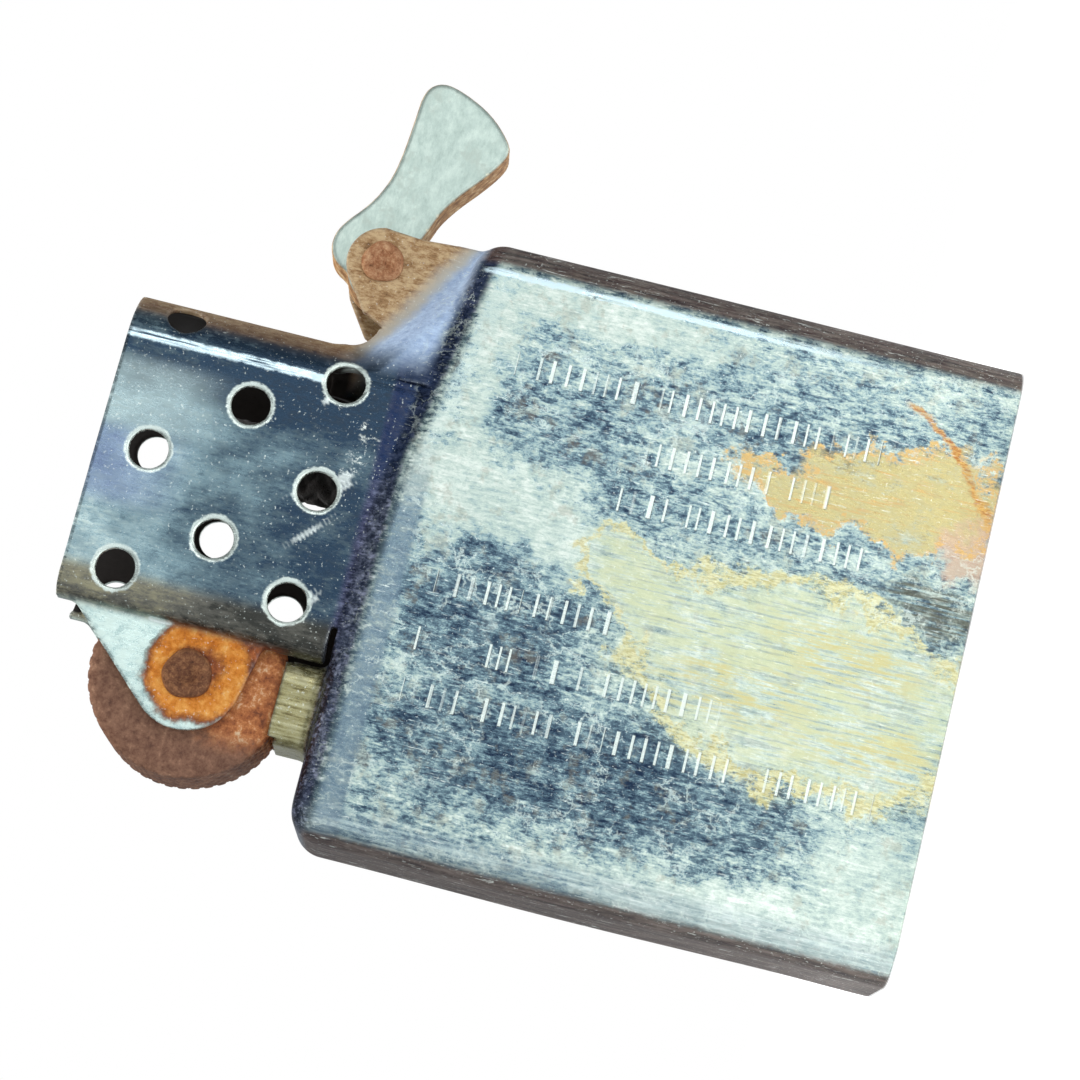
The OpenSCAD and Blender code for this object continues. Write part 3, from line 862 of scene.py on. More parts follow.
def face_tone(p):
    """How light the worn sheet is: navy where bare, chalky where crusted, and lighter up the rounded left
    corner as a painted reflection.
    """
    dark = p.patches((-10.9, 20, 3.5, 11.5, 2), (-4.0, 26.2, 4.2, 5.2, 20), (-3.0, 23.0, 2.6, 2.6, 0, 0.5))
    dull = p.patches((8.6, 25.2, 3.2, 4.0, 10, 0.5), (11.0, 14.5, 2.2, 7.5, -4, 0.5),
                     (5.2, 19.0, 1.8, 3.0, 25, 0.5))
    # the first light oval, up the rounded left corner, is a painted reflection
    light = p.patches((-16.4, 6, 1.8, 14, 0, 0.5), (2.6, 26, 2.4, 8, 14, 0.4), (14.6, 24, 1.2, 9, 0, 0.4),
                      (8, 29.6, 9, 1.2, 0, 0.5), (-13.6, 2, 4, 4, 0, 0.5), (-3.2, 8.2, 5.2, 9.2, 8, 0.3),
                      (-0.6, 17.5, 2.2, 4.5, 30, 0.4))
    dark = p.both(dark, p.on_face)
    light = p.both(light, p.on_face)
    level = p.blend(p.both(dull, p.on_face), p.blend(light, 0.52, 0.71), 0.41)
    level = p.blend(dark, level, 0.31)
    streak = p.both(p.patch(3.2, 7.2, 1.0, 8.5, 12, 0.45), p.on_face)
    level = p.blend(p.both(streak, p.between(p.brush, 0.28, 0.60)), level, 0.42)
    contrast = p.blend(light, p.blend(dark, 1.75, 1.35), 0.95)
    spread = p.plus(p.minus(p.speck, 0.5), p.times(p.minus(p.fine, 0.5), 0.55))
    tone = p.plus(level, p.times(spread, contrast))
    tone = p.plus(tone, p.times(p.minus(p.cloud, 0.5), 0.45))
    return p.plus(tone, p.times(p.minus(p.brush, 0.5), 0.40))


def face_stains(p, base):
    """Cream, straw and amber staining on the lower front, with tide marks and a curved rust run.

    Returns the new base and where the stains are."""
    stain = p.noise(0.8, 7, 0.74, stretch=(0.8, 1, 2.0), shift=(7, 1, 0))
    streaks = p.plus(stain, p.times(p.minus(p.brush, 0.5), 1.1))
    cream = p.both(p.patches((-3.2, 8.4, 5.2, 9.4, 8, 0.4), (-0.4, 17.4, 2.0, 4.4, 28, 0.5)), p.on_face)
    straw = p.both(p.patches((8.4, 5.6, 2.7, 5.2, 4, 0.18), (7.4, 10.6, 1.4, 3.8, 6, 0.25),
                             (9.4, 2.4, 2.6, 2.2, 0, 0.25)), p.on_face)
    base = p.tint(p.both(cream, p.between(streaks, 0.34, 0.60)), 0.72, base, CREAM)
    gold = p.patches((-6.2, 3.4, 1.6, 4.2, 0, 0.5), (-1.0, 6.0, 1.6, 4.0, 6, 0.5),
                     (-4.4, 12.0, 1.3, 4.0, 0, 0.6))
    base = p.tint(p.both(gold, p.on_face, p.between(streaks, 0.42, 0.66)), 0.75, base, STRAW)
    grey = p.both(cream, p.between(p.brush, 0.48, 0.38))
    base = p.tint(grey, 0.45, base, (150, 156, 138))
    smoke = p.both(p.patch(3.0, 2.4, 1.2, 3.0, 8, 0.5), p.on_face, p.between(p.brush, 0.34, 0.58))
    base = p.tint(smoke, 0.9, base, (84, 84, 72))
    base = p.tint(p.both(straw, p.between(stain, 0.24, 0.48)), 0.88, base,
                  p.mix(p.between(streaks, 0.52, 0.82), (196, 182, 124), AMBER))
    grain = p.both(straw, p.between(p.fine, 0.46, 0.36))
    base = p.tint(grain, 0.40, base, (168, 150, 108))
    pink = p.both(p.patch(6.3, 1.2, 1.5, 1.6, 0, 0.4), p.on_face)
    base = p.tint(pink, 0.8, base, PINK)
    straw_rim = p.both(p.band(straw, 0.25, 0.70, 0.2), p.between(p.speck, 0.42, 0.56))
    base = p.tint(straw_rim, 0.85, base, p.mix(p.speck, (176, 116, 50), (238, 206, 130)))
    cream_rim = p.both(p.band(cream, 0.28, 0.46, 0.10), p.between(p.speck, 0.36, 0.52))
    base = p.tint(cream_rim, 0.75, base, p.mix(p.between(p.fine, 0.40, 0.60), (190, 176, 108),
                                               (228, 222, 170)))

    arc = p.ring(5.0, 9.6, 9.75, 9.75, at=p.shoved((2.2, 0, 2.2)))
    run = p.both(p.band(arc, 0.99, 1.01, 0.025), p.between(p.x, 7.4, 9.2), p.between(p.z, 6.4, 5.6),
                 p.between(stain, 0.34, 0.46), p.on_face)
    base = p.tint(run, 0.85, base, p.mix(p.between(p.fine, 0.36, 0.6), RUST, AMBER))
    return base, p.either(cream, straw)


def ticks(p):
    """Rows of plain, straight, level strokes cut into the front in columns, with gaps; they spell nothing."""
    marks = None
    columns = ((-8.8, 3, 29.6), (-5.8, 12, 29.6), (-2.4, 19, 29.6), (4.6, 6, 21), (7.6, 9, 20), (10.8, 7, 28))
    for column, (x, low, high) in enumerate(columns):
        seed = column * 5.0
        drift = p.noise(0.35, 1, 0.5, stretch=(90, 90, 1), shift=(seed, 0, 3 * seed))
        across = p.math("ABSOLUTE", p.minus(p.x, x))
        along = p.math("PINGPONG", p.plus(p.z, p.times(drift, 1.6)), 0.38)
        groups = p.noise(0.55, 1, 0.5, stretch=(90, 90, 1), shift=(seed, 0, column * 3.1))
        stroke = p.both(p.between(across, 0.72, 0.64), p.between(along, 0.105, 0.065),
                        p.band(p.z, low, high, 0.1), p.between(groups, 0.43, 0.45))
        marks = stroke if marks is None else p.either(marks, stroke)
    filled = p.between(p.noise(0.7, 3, 0.7, stretch=(90, 90, 1), shift=(2, 9, 6)), 0.34, 0.44)
    return p.both(marks, filled, p.on_face)


def screen_tone(p, base):
    """Windscreen: navy to blue-grey, with an olive painted reflection where it curves to the ears;
    the brown painted reflection where it turns to the cam is laid on in edge_tone.
    """
    screen = p.between(p.z, 33.4, 34.2)
    haze = p.noise(0.5, 5, 0.6, stretch=(1, 1, 1.6), shift=(1, 8, 3))
    mottle = p.weigh((haze, 0.55), (p.speck, 0.35), (p.fine, 0.25), (p.brush, 0.15),
                     (p.between(p.z, 36, 50), 0.22))
    mottle = p.minus(mottle, p.times(p.between(p.x, 3.5, 6.0), 0.21))
    mottle = p.minus(mottle, 0.07)
    sheet = p.ramp(mottle, (0.54, (44, 62, 80)), (0.66, (84, 104, 114)), (0.76, (118, 142, 150)),
                   (0.86, (154, 177, 181)), (0.95, (202, 220, 216)))
    lilac = p.both(p.between(p.z, 43.5, 48.5), p.band(p.x, -1.5, 1.2, 1.5))
    sheet = p.tint(lilac, 0.45, sheet, p.mix(haze, (122, 140, 186), (176, 186, 214)))
    pale = p.both(p.between(p.z, 42, 47), p.band(p.x, 2.6, 5.4, 1.2))
    sheet = p.tint(pale, 0.5, sheet, (176, 194, 194))
    # painted reflection: olive-grey where the windscreen curves in towards the wheel ears
    olive = p.between(p.x, -5.6, -6.6)
    sheet = p.mix(olive, sheet, p.ramp(mottle, (0.58, (60, 60, 56)), (0.72, (104, 102, 94)),
                                       (0.88, (158, 152, 124))))
    struck = p.both(p.patch(3.6, 35.4, 1.4, 0.7, 10, 0.4), p.between(p.web, 0.07, 0.03),
                    p.between(p.speck, 0.46, 0.54), p.front)
    sheet = p.tint(struck, 0.8, sheet, WHITE)
    return p.mix(screen, base, sheet)


def shoulder_tone(p, base):
    """The dark roll along the case's shoulder and the bright band under it."""
    level = p.blend(p.between(p.x, 2.0, 6.0), p.z, p.slope(p.z, 0.19, 4.0))
    level = p.plus(level, p.times(p.minus(p.speck, 0.5), 0.9))
    line = p.both(p.between(level, 32.6, 33.1), p.between(p.z, 34.6, 34.1))
    roll = p.ramp(p.weigh((p.speck, 0.6), (p.fine, 0.5)), (0.44, (32, 38, 62)), (0.56, (68, 70, 96)),
                  (0.68, (112, 116, 150)), (0.80, (180, 190, 206)))
    base = p.tint(line, 0.88, base, roll)
    navy = p.both(line, p.between(p.x, 1.0, 4.0))
    base = p.tint(navy, 0.82, base, (26, 44, 76))
    glow = p.both(p.band(level, 31.6, 32.2, 0.35), p.between(p.speck, 0.34, 0.54))
    base = p.tint(glow, 0.35, base, (206, 222, 216))
    dim = p.both(p.band(level, 31.3, 32.5, 0.4), p.between(p.x, 6, 0), p.between(p.speck, 0.74, 0.52))
    return p.tint(dim, 0.78, base, (106, 126, 140))


def edge_tone(p, base):
    """Brown painted reflection round the upright corners, a pale blue-grey painted reflection inside the left
    one, and a painted highlight line beside the right ones.

    Returns the new base and where the brown painted reflection is."""
    half = CASE_W / 2
    drift = p.times(p.minus(p.speck, 0.5), 0.5)
    right = p.plus(p.x, drift)
    left = p.minus(drift, p.x)
    # painted reflection: a pale blue-grey band on the face just inside the rounded left corner
    grey = p.both(p.between(left, half - 2.4, half - 1.4), p.face)
    base = p.tint(grey, 0.45, base, p.mix(p.between(p.brush, 0.34, 0.66), (120, 138, 150), (190, 208, 212)))
    # painted reflection: brown round the upright corners of the case and of the windscreen's cam side
    brown = p.ramp(p.weigh((p.brush, 0.7), (p.fine, 0.35)), (0.40, (54, 36, 31)), (0.52, (83, 62, 54)),
                   (0.64, (112, 93, 85)))
    case_side_reflection = p.either(p.between(right, half - 1.9, half - 1.4), p.between(left, half - 0.75, half - 0.35))
    screen_side_reflection = p.both(p.between(right, SCREEN_X1 - 1.6, SCREEN_X1 - 1.1), p.between(p.z, 36.6, 37.6))
    sides = p.either(p.both(case_side_reflection, p.face), screen_side_reflection)
    base = p.tint(sides, 0.9, base, brown)
    # painted highlight: a pale blue-white line beside the right-hand corners of the case and the windscreen
    case_highlight_line = p.both(p.band(right, half - 2.3, half - 2.1, 0.16), p.between(p.z, 4, 20),
                       p.between(p.z, 31.4, 31.0))
    screen_highlight_line = p.both(p.band(right, SCREEN_X1 - 2.95, SCREEN_X1 - 2.65, 0.2), p.between(p.z, 35.8, 36.6))
    lines = p.both(p.either(case_highlight_line, screen_highlight_line), p.between(p.brush, 0.30, 0.50))
    return p.mix(lines, base, (222, 244, 252)), sides


def hole_rim_highlights(p):
    """Painted highlight on the air holes' rounded edges and bores, each wall with its own."""
    near = None
    for side, wall in ((-1, p.front), (1, p.between(p.y, -0.5, 0.5))):
        rims = None
        for hx, hz in hole_places(side):
            shifted = p.vector("SUBTRACT", p.mm, (hx, 0, hz))
            flat = p.vector("MULTIPLY", shifted, (1, 0, 1))
            away = p.vector("LENGTH", flat, None)
            rims = away if rims is None else p.math("MINIMUM", rims, away)
        worn = p.plus(rims, p.times(p.minus(p.speck, 0.5), 0.5))
        ring = p.both(p.between(worn, HOLE_R + 0.34, HOLE_R + 0.2), wall)
        near = ring if near is None else p.either(near, ring)
    return p.both(near, p.between(p.z, DECK_Z + 1, DECK_Z + 1.5))


def screen_depth(p):
    """How far, in millimetres, a point lies inside the windscreen's outer face."""
    r = p.blend(p.between(p.x, SCREEN_MID - 0.01, SCREEN_MID + 0.01), SCREEN_WHEEL_R, SCREEN_R)
    out_x = p.plus(p.math("ABSOLUTE", p.minus(p.x, SCREEN_MID)), r)
    out_x = p.minus(out_x, (SCREEN_X1 - SCREEN_X0) / 2)
    out_y = p.minus(p.plus(p.math("ABSOLUTE", p.y), r), SCREEN_Y)
    round_x = p.math("MAXIMUM", out_x, 0.0)
    round_y = p.math("MAXIMUM", out_y, 0.0)
    reach = p.math("SQRT", p.plus(p.times(round_x, round_x), p.times(round_y, round_y)))
    flat = p.math("MINIMUM", p.math("MAXIMUM", out_x, out_y), 0.0)
    return p.minus(r, p.plus(reach, flat))


def cam_ear_tone(p, base):
    """Cam ears: tan rust above a painted blue highlight where the sheet turns in to them, navy below it;
    returns where they are.
    """
    area = p.both(p.between(p.x, 8.2, 11.0), p.between(p.slope(p.z, 0.19, 4.0), 33.4, 34.4))
    drift = p.weigh((p.cloud, 1.2), (p.speck, 0.5))
    fall = p.plus(p.slope(p.z, 0.62, 10.0), p.minus(drift, 0.85))
    # painted highlight: pale blue along the rounded turn from the windscreen's corner into the cam ears
    bend_highlight = p.mix(p.between(p.plus(p.speck, p.times(p.fine, 0.5)), 0.35, 1.1), (132, 156, 196),
                 (206, 226, 248))
    rust = p.ramp(p.weigh((p.speck, 0.7), (p.fine, 0.4)), (0.38, (104, 72, 46)), (0.50, (160, 124, 84)),
                  (0.62, (200, 172, 132)))
    tone = p.mix(p.between(fall, 35.9, 36.8), bend_highlight, (186, 182, 172))
    tone = p.mix(p.between(fall, 36.5, 37.8), tone, rust)
    return p.mix(area, base, tone), area


def wheel_ear_tone(p, base):
    """Wheel ears: a pale plate with a burst of orange rust round the rivet; returns the rusted part too."""
    cheek = p.both(p.between(p.x, SCREEN_X0 + 0.3, SCREEN_X0 - 0.3), p.between(p.z, 36.2, 37.0))
    away = p.ring(WHEEL_X + 0.35, WHEEL_Z - 0.5, 1, 1, at=p.shoved((2.2, 0, 2.2)))
    low = p.both(p.between(p.z, 41.0, 39.8), p.between(p.x, -13.0, -12.0))
    burst = p.either(p.between(away, 3.35, 2.9), low)
    scab = p.noise(1.3, 6, 0.75, shift=(2, 2, 5))
    halo = p.both(p.between(away, 3.1, 2.4), p.between(away, 1.1, 1.7))
    dull = p.ramp(scab, (0.32, (84, 44, 30)), (0.48, (140, 74, 40)), (0.62, (190, 110, 60)))
    glow = p.ramp(scab, (0.30, (176, 92, 22)), (0.46, (220, 134, 44)), (0.60, (240, 172, 84)),
                  (0.72, (246, 214, 160)))
    rusty = p.mix(halo, dull, glow)
    rusty = p.mix(p.both(p.between(p.fine, 0.62, 0.72), p.between(away, 2.4, 3.2)), rusty, (240, 228, 200))
    plate = p.mix(p.between(p.speck, 0.34, 0.60), (176, 198, 194), (220, 238, 230))
    base = p.mix(cheek, base, p.mix(burst, plate, rusty))
    collar = p.both(p.between(p.x, SCREEN_X0 + 0.1, SCREEN_X0 - 0.3), p.between(p.z, 34.0, 34.4),
                    p.between(p.z, 36.9, 36.5))
    collar_tone = p.ramp(p.weigh((p.brush, 0.6), (p.speck, 0.5)), (0.38, (90, 79, 48)),
                         (0.52, (156, 149, 108)), (0.68, (194, 189, 152)))
    return p.mix(collar, base, collar_tone), p.both(cheek, burst), scab


def case_material():
    p = Sheet("tarnished_sheet")
    tone = face_tone(p)
    base = p.ramp(tone, (0.12, NAVY), (0.30, SLATE), (0.46, STEEL), (0.68, CHALK), (0.95, WHITE))
    grime = p.both(p.on_face, p.between(p.noise(0.8, 4, 0.7, shift=(6, 6, 2)), 0.54, 0.66))
    base = p.tint(grime, 0.30, base, (150, 140, 116))
    base, stained = face_stains(p, base)
    cut = ticks(p)
    base = p.tint(cut, 0.8, base, (232, 240, 232))
    base = screen_tone(p, base)
    base = shoulder_tone(p, base)
    # painted reflections and highlight lines round the upright corners; sides is where the brown painted
    # reflection lies
    base, sides = edge_tone(p, base)
    base, ears = cam_ear_tone(p, base)
    base, burst, scab = wheel_ear_tone(p, base)

    # bright scratches, painted glints and worn edges; a painted highlight on the air holes' rounded edges;
    # soot inside the windscreen
    scratch = p.both(p.between(p.noise(2.2, 3, 0.8, stretch=(0.3, 1, 3.0), shift=(5, 5, 5)), 0.61, 0.70),
                     p.face)
    base = p.tint(scratch, 0.6, base, WHITE)
    crackle = p.both(p.between(p.web, 0.055, 0.02), p.between(p.cloud, 0.46, 0.56), p.face,
                     p.between(p.either(stained, sides), 0.9, 0.2))
    base = p.tint(crackle, 0.42, base, (226, 238, 228))
    # painted glints: tiny white specks of highlight over the sheet
    painted_glints = p.between(p.noise(6.0, 2, 0.6, shift=(9, 2, 2)), 0.64, 0.72)
    base = p.tint(painted_glints, 0.45, base, WHITE)
    worn = p.times(p.wear(), 0.7)
    base = p.mix(worn, base, (226, 234, 230))
    base = p.tint(hole_rim_highlights(p), 0.85, base, (226, 236, 228))
    inner = p.both(p.between(screen_depth(p), 0.30, 0.36), p.between(p.z, DECK_Z, DECK_Z + 0.1),
                   p.between(p.x, SCREEN_X0 + 0.4, SCREEN_X0 + 0.6),
                   p.either(p.between(p.x, 8.8, 8.4), p.between(p.z, 37.2, 37.8)))
    base = p.mix(inner, base, p.mix(p.speck, SOOT, (52, 46, 42)))

    crust = p.either(p.between(tone, 0.45, 0.85), burst, inner, sides, ears)
    rough = p.blend(crust, 0.27, 0.60)
    metal = p.blend(crust, 0.92, 0.45)
    height = p.weigh((p.speck, 0.6), (p.fine, 0.4))
    relief = p.bump(height, 0.045, 0.6)
    relief = p.bump(p.minus(1.0, cut), 0.06, 0.6, relief)
    relief = p.bump(p.both(scab, burst), 0.25, 0.8, relief)
    return p.set(base=base, rough=rough, metal=metal, normal=relief)


# ---------------------------------------------------------------- the other metals
def cam_material():
    """Satin plated blade, dull green-grey, with a cream painted highlight on its rims and brown along its
    thickness.
    """
    seed = 31.0
    p = Paint("satin_cam", seed)
    satin = p.noise(1.6, 6, 0.7, stretch=(1.4, 1, 1))
    grain = p.noise(7.0, 3, 0.7, stretch=(2.5, 1, 1), shift=(1, 2, 3))
    tone = p.weigh((satin, 0.75), (grain, 0.3))
    base = p.ramp(tone, (0.34, (160, 176, 168)), (0.50, (182, 198, 189)), (0.66, (203, 217, 207)))
    tarnish = p.both(p.between(p.noise(0.45, 5, 0.65, shift=(8, 3, 1)), 0.52, 0.62),
                     p.between(satin, 0.40, 0.60))
    base = p.tint(tarnish, 0.45, base, (150, 160, 150))
    depth = p.math("ABSOLUTE", p.minus(p.y, seed * 0.7))
    edge = p.between(depth, 1.27, 1.10)
    rust = p.ramp(satin, (0.36, (120, 82, 50)), (0.52, (176, 134, 90)), (0.66, (214, 190, 150)))
    base = p.mix(edge, base, rust)
    # painted highlight: cream along the blade's sharp rims
    rim = p.both(p.wear(0.2), p.between(depth, 1.0, 1.2))
    base = p.tint(rim, 0.8, base, (232, 226, 200))
    hub = p.between(depth, 1.32, 1.40)
    base = p.mix(hub, base, p.mix(satin, (110, 74, 46), TAN))
    relief = p.bump(grain, 0.02, 0.4)
    return p.set(base=base, rough=p.blend(edge, p.blend(grain, 0.36, 0.5), 0.7),
                 metal=p.blend(edge, 0.75, 0.2), normal=relief)


def wheel_material():
    """Hardened wheel gone to an even brown rust, redder and scabby towards the bottom."""
    seed = 17.0
    p = Paint("rusted_wheel", seed)
    scab = p.noise(1.5, 7, 0.72)
    pore = p.noise(6.0, 4, 0.7, shift=(2, 2, 2))
    tone = p.weigh((scab, 0.7), (pore, 0.35))
    base = p.ramp(tone, (0.34, (74, 46, 36)), (0.48, (116, 80, 62)), (0.60, (142, 104, 82)),
                  (0.72, (178, 140, 112)))
    low = p.minus(WHEEL_Z - 0.4 * seed, p.z)
    low = p.plus(low, p.times(p.minus(scab, 0.5), 6.0))
    red = p.both(p.between(low, 0.8, 2.6), p.between(p.x, WHEEL_X + seed - 4.0, WHEEL_X + seed - 2.0))
    flecks = p.noise(1.7, 5, 0.75, shift=(5, 5, 1))
    glow = p.ramp(flecks, (0.34, (110, 58, 34)), (0.47, (176, 102, 56)), (0.58, (212, 140, 82)),
                  (0.66, (236, 204, 166)))
    base = p.tint(red, 0.9, base, glow)
    base = p.tint(p.wear(), 0.5, base, (186, 160, 140))
    relief = p.bump(p.weigh((scab, 0.6), (pore, 0.4)), 0.06, 0.8)
    return p.set(base=base, rough=p.blend(scab, 0.45, 0.75), metal=p.blend(scab, 0.6, 0.25), normal=relief)


def rivet_material(name, seed, dark, middle, light):
    """Rusted rivet: dark in the dimple, brighter round the rim."""
    p = Paint(name, seed)
    scab = p.noise(2.4, 6, 0.75)
    pore = p.noise(9.0, 3, 0.7, shift=(1, 5, 2))
    tone = p.weigh((scab, 0.75), (pore, 0.3))
    base = p.ramp(tone, (0.34, dark), (0.50, middle), (0.68, light))
    base = p.tint(p.wear(), 0.6, base, light)
    relief = p.bump(p.plus(scab, p.times(pore, 0.5)), 0.08, 0.9)
    return p.set(base=base, rough=p.blend(scab, 0.5, 0.8), metal=p.blend(scab, 0.55, 0.2), normal=relief)


def turned_material(name, seed, dark, middle, light, metal=0.95, rough=(0.22, 0.45)):
    """Turned or drawn metal with fine rings, dull spots and brighter edges."""
    p = Paint(name, seed)
    rings = p.noise(6.0, 3, 0.6, stretch=(3, 3, 0.3))
    dull = p.noise(0.8, 5, 0.65, shift=(4, 1, 7))
    tone = p.weigh((dull, 0.7), (rings, 0.3))
    base = p.ramp(tone, (0.34, dark), (0.50, middle), (0.66, light))
    base = p.tint(p.wear(), 0.5, base, light)
    relief = p.bump(rings, 0.01, 0.5)
    return p.set(base=base, rough=p.blend(dull, *rough), metal=metal, normal=relief)


# ---------------------------------------------------------------- fibres
def fibre_material(name, seed, dark, light, scale, stain=None, burnt=None):
    """Matted fibres with a soft sheen; burnt gives the heights between which they char."""
    p = Paint(name, seed)
    hair = p.noise(scale, 5, 0.75, stretch=(2.2, 1, 1), warp=1.2)
    cross = p.noise(scale * 1.3, 5, 0.75, stretch=(1, 2.4, 1), shift=(3, 3, 3), warp=1.2)
    mat = p.math("MAXIMUM", hair, cross)
    base = p.ramp(mat, (0.40, dark), (0.62, light))
    if stain is not None:
        blot = p.between(p.noise(0.25, 5, 0.6, shift=(9, 1, 4)), 0.50, 0.66)
        base = p.tint(blot, 0.55, base, stain)
    if burnt is not None:
        height = p.minus(p.z, -seed * 0.4)
        level = p.plus(height, p.times(p.minus(mat, 0.5), 3.0))
        base = p.mix(p.between(level, *burnt), base, p.mix(hair, SOOT, (58, 50, 44)))
    relief = p.bump(mat, 0.16, 0.9)
    return p.set(base=base, rough=0.95, normal=relief, sheen=0.25, sheen_rough=0.6)


# ---------------------------------------------------------------- camera, light and floor
# the camera as fitted to the photo: where it looks, its three angles in degrees, and how far off it is
CAMERA_TARGET = (2.46, 0, 24.43)
CAMERA_ANGLES = (-12.4, -1.19, -75.96)
CAMERA_DISTANCE = 184.45


def look_at(target, azimuth, elevation, roll, distance):
    """Camera placement by angles in degrees; azimuth 0 looks along +Y."""
    az, el, ro = (math.radians(v) for v in (azimuth, elevation, roll))
    back = Vector((math.sin(az) * math.cos(el), -math.cos(az) * math.cos(el), math.sin(el)))
    right = (-back).cross(Vector((0, 0, 1))).normalized()
    up = right.cross(-back)
    turned_right = right * math.cos(ro) + up * math.sin(ro)
    turned_up = -right * math.sin(ro) + up * math.cos(ro)
    where = Vector(target) * MM + back * distance * MM
    matrix = Matrix((turned_right, turned_up, back)).transposed().to_4x4()
    return Matrix.Translation(where) @ matrix


def add_camera():
    data = bpy.data.cameras.new("camera")
    data.sensor_width = 36
    data.lens = 107.15
    data.clip_start = 0.001
    camera = bpy.data.objects.new("camera", data)
    camera.matrix_world = look_at(CAMERA_TARGET, *CAMERA_ANGLES, CAMERA_DISTANCE)
    bpy.context.collection.objects.link(camera)
    bpy.context.scene.camera = camera


def add_world():
    """White to the camera; to everything else a studio with a bright front and a dark quarter."""
    world = bpy.data.worlds.new("studio")
    bpy.context.scene.world = world
    world.use_nodes = True
    tree = world.node_tree
    light = tree.nodes["Background"]
    where = tree.nodes.new("ShaderNodeTexCoord").outputs["Generated"]
    split = tree.nodes.new("ShaderNodeSeparateXYZ")
    tree.links.new(where, split.inputs[0])

    def math_node(operation, a, b):
        node = tree.nodes.new("ShaderNodeMath")
        node.operation = operation
        for socket, value in zip(node.inputs, (a, b)):
            if isinstance(value, bpy.types.NodeSocket):
                tree.links.new(value, socket)
            else:
                socket.default_value = value
        return node.outputs[0]

    def levels(value, stops):
        ramp = tree.nodes.new("ShaderNodeValToRGB")
        tree.links.new(value, ramp.inputs[0])
        while len(ramp.color_ramp.elements) < len(stops):
            ramp.color_ramp.elements.new(0.5)
        for element, (position, level) in zip(ramp.color_ramp.elements, stops):
            element.position = position
            element.color = (level * 0.95, level * 0.98, level, 1)
        return ramp.outputs["Color"]

    # heading in turns: 0.5 is straight out from the front, 0.75 out from the cam side
    heading = math_node("ARCTAN2", split.outputs["X"], math_node("MULTIPLY", split.outputs["Y"], -1.0))
    turn = math_node("ADD", math_node("DIVIDE", heading, 2 * math.pi), 0.5)
    round_room = levels(turn, ((0.0, 0.42), (0.24, 0.35), (0.30, 0.85), (0.40, 1.0), (0.575, 1.0),
                               (0.62, 0.34), (0.70, 0.42), (0.80, 0.40), (1.0, 0.42)))
    rise = levels(math_node("ADD", math_node("MULTIPLY", split.outputs["Z"], 0.5), 0.5),
                  ((0.0, 0.55), (0.30, 0.75), (0.42, 1.0), (0.66, 1.0), (0.78, 0.35), (0.90, 0.35),
                   (1.0, 0.8)))
    room = tree.nodes.new("ShaderNodeMix")
    room.data_type = "RGBA"
    room.blend_type = "MULTIPLY"
    room.inputs["Factor"].default_value = 1.0
    tree.links.new(round_room, room.inputs[6])
    tree.links.new(rise, room.inputs[7])
    tree.links.new(room.outputs[2], light.inputs["Color"])
    light.inputs["Strength"].default_value = 1.15
    plain = tree.nodes.new("ShaderNodeBackground")
    plain.inputs["Color"].default_value = (1, 1, 1, 1)
    plain.inputs["Strength"].default_value = 1.0
    path = tree.nodes.new("ShaderNodeLightPath")
    mix = tree.nodes.new("ShaderNodeMixShader")
    tree.links.new(path.outputs["Is Camera Ray"], mix.inputs["Fac"])
    tree.links.new(light.outputs["Background"], mix.inputs[1])
    tree.links.new(plain.outputs["Background"], mix.inputs[2])
    tree.links.new(mix.outputs[0], tree.nodes["World Output"].inputs["Surface"])


def add_light(name, where, size, watts, gloss, target=(0, 0, 24)):
    data = bpy.data.lights.new(name, "AREA")
    data.shape = "RECTANGLE"
    data.size, data.size_y = (v * MM for v in size)
    data.energy = watts
    lamp = bpy.data.objects.new(name, data)
    lamp.visible_glossy = gloss
    place_at = Vector(where) * MM
    lamp.location = place_at
    lamp.rotation_euler = (Vector(target) * MM - place_at).to_track_quat("-Z", "Y").to_euler()
    bpy.context.collection.objects.link(lamp)


def add_floor():
    """A pale round floor that fades into the white surroundings."""
    radius = 90
    rings = 24
    sides = 96
    points = [(0, 0, -0.05)]
    for k in range(1, rings + 1):
        r = radius * k / rings
        points += [(r * math.cos(a), r * math.sin(a), -0.05)
                   for a in np.linspace(0, 2 * math.pi, sides, endpoint=False)]
    faces = [(0, 1 + j, 1 + (j + 1) % sides) for j in range(sides)]
    for k in range(rings - 1):
        for j in range(sides):
            a, b = 1 + k * sides + j, 1 + k * sides + (j + 1) % sides
            faces.append((a, a + sides, b + sides, b))
    floor = add_mesh("floor", points, faces)
    p = Paint("pale_floor")
    soft = p.noise(0.12, 4, 0.6)
    base = p.mix(soft, (248, 248, 247), (254, 254, 254))
    p.set(base=base, rough=0.7)
    p.shader.inputs["Emission Color"].default_value = (1, 1, 1, 1)
    p.shader.inputs["Emission Strength"].default_value = 0.45
    clear = p.new("ShaderNodeBsdfTransparent").outputs[0]
    cover = p.new("ShaderNodeMixShader")
    away = p.vector("LENGTH", p.mm, None)
    p.feed(cover.inputs["Fac"], p.between(away, 26, radius - 4))
    p.feed(cover.inputs[1], p.shader.outputs[0])
    p.feed(cover.inputs[2], clear)
    p.feed(p.tree.nodes["Material Output"].inputs["Surface"], cover.outputs[0])
    use(floor, p.material)


# ---------------------------------------------------------------- putting it together
def stand_in(piece, body, node, material):
    """Rides a piece on its body in place of a CAD node."""
    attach(piece, body)
    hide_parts(node)
    use(piece, material)


def cad_finish(node, material):
    """Gives a CAD node that has no stand-in its material."""
    use(bpy.data.objects[node], material)


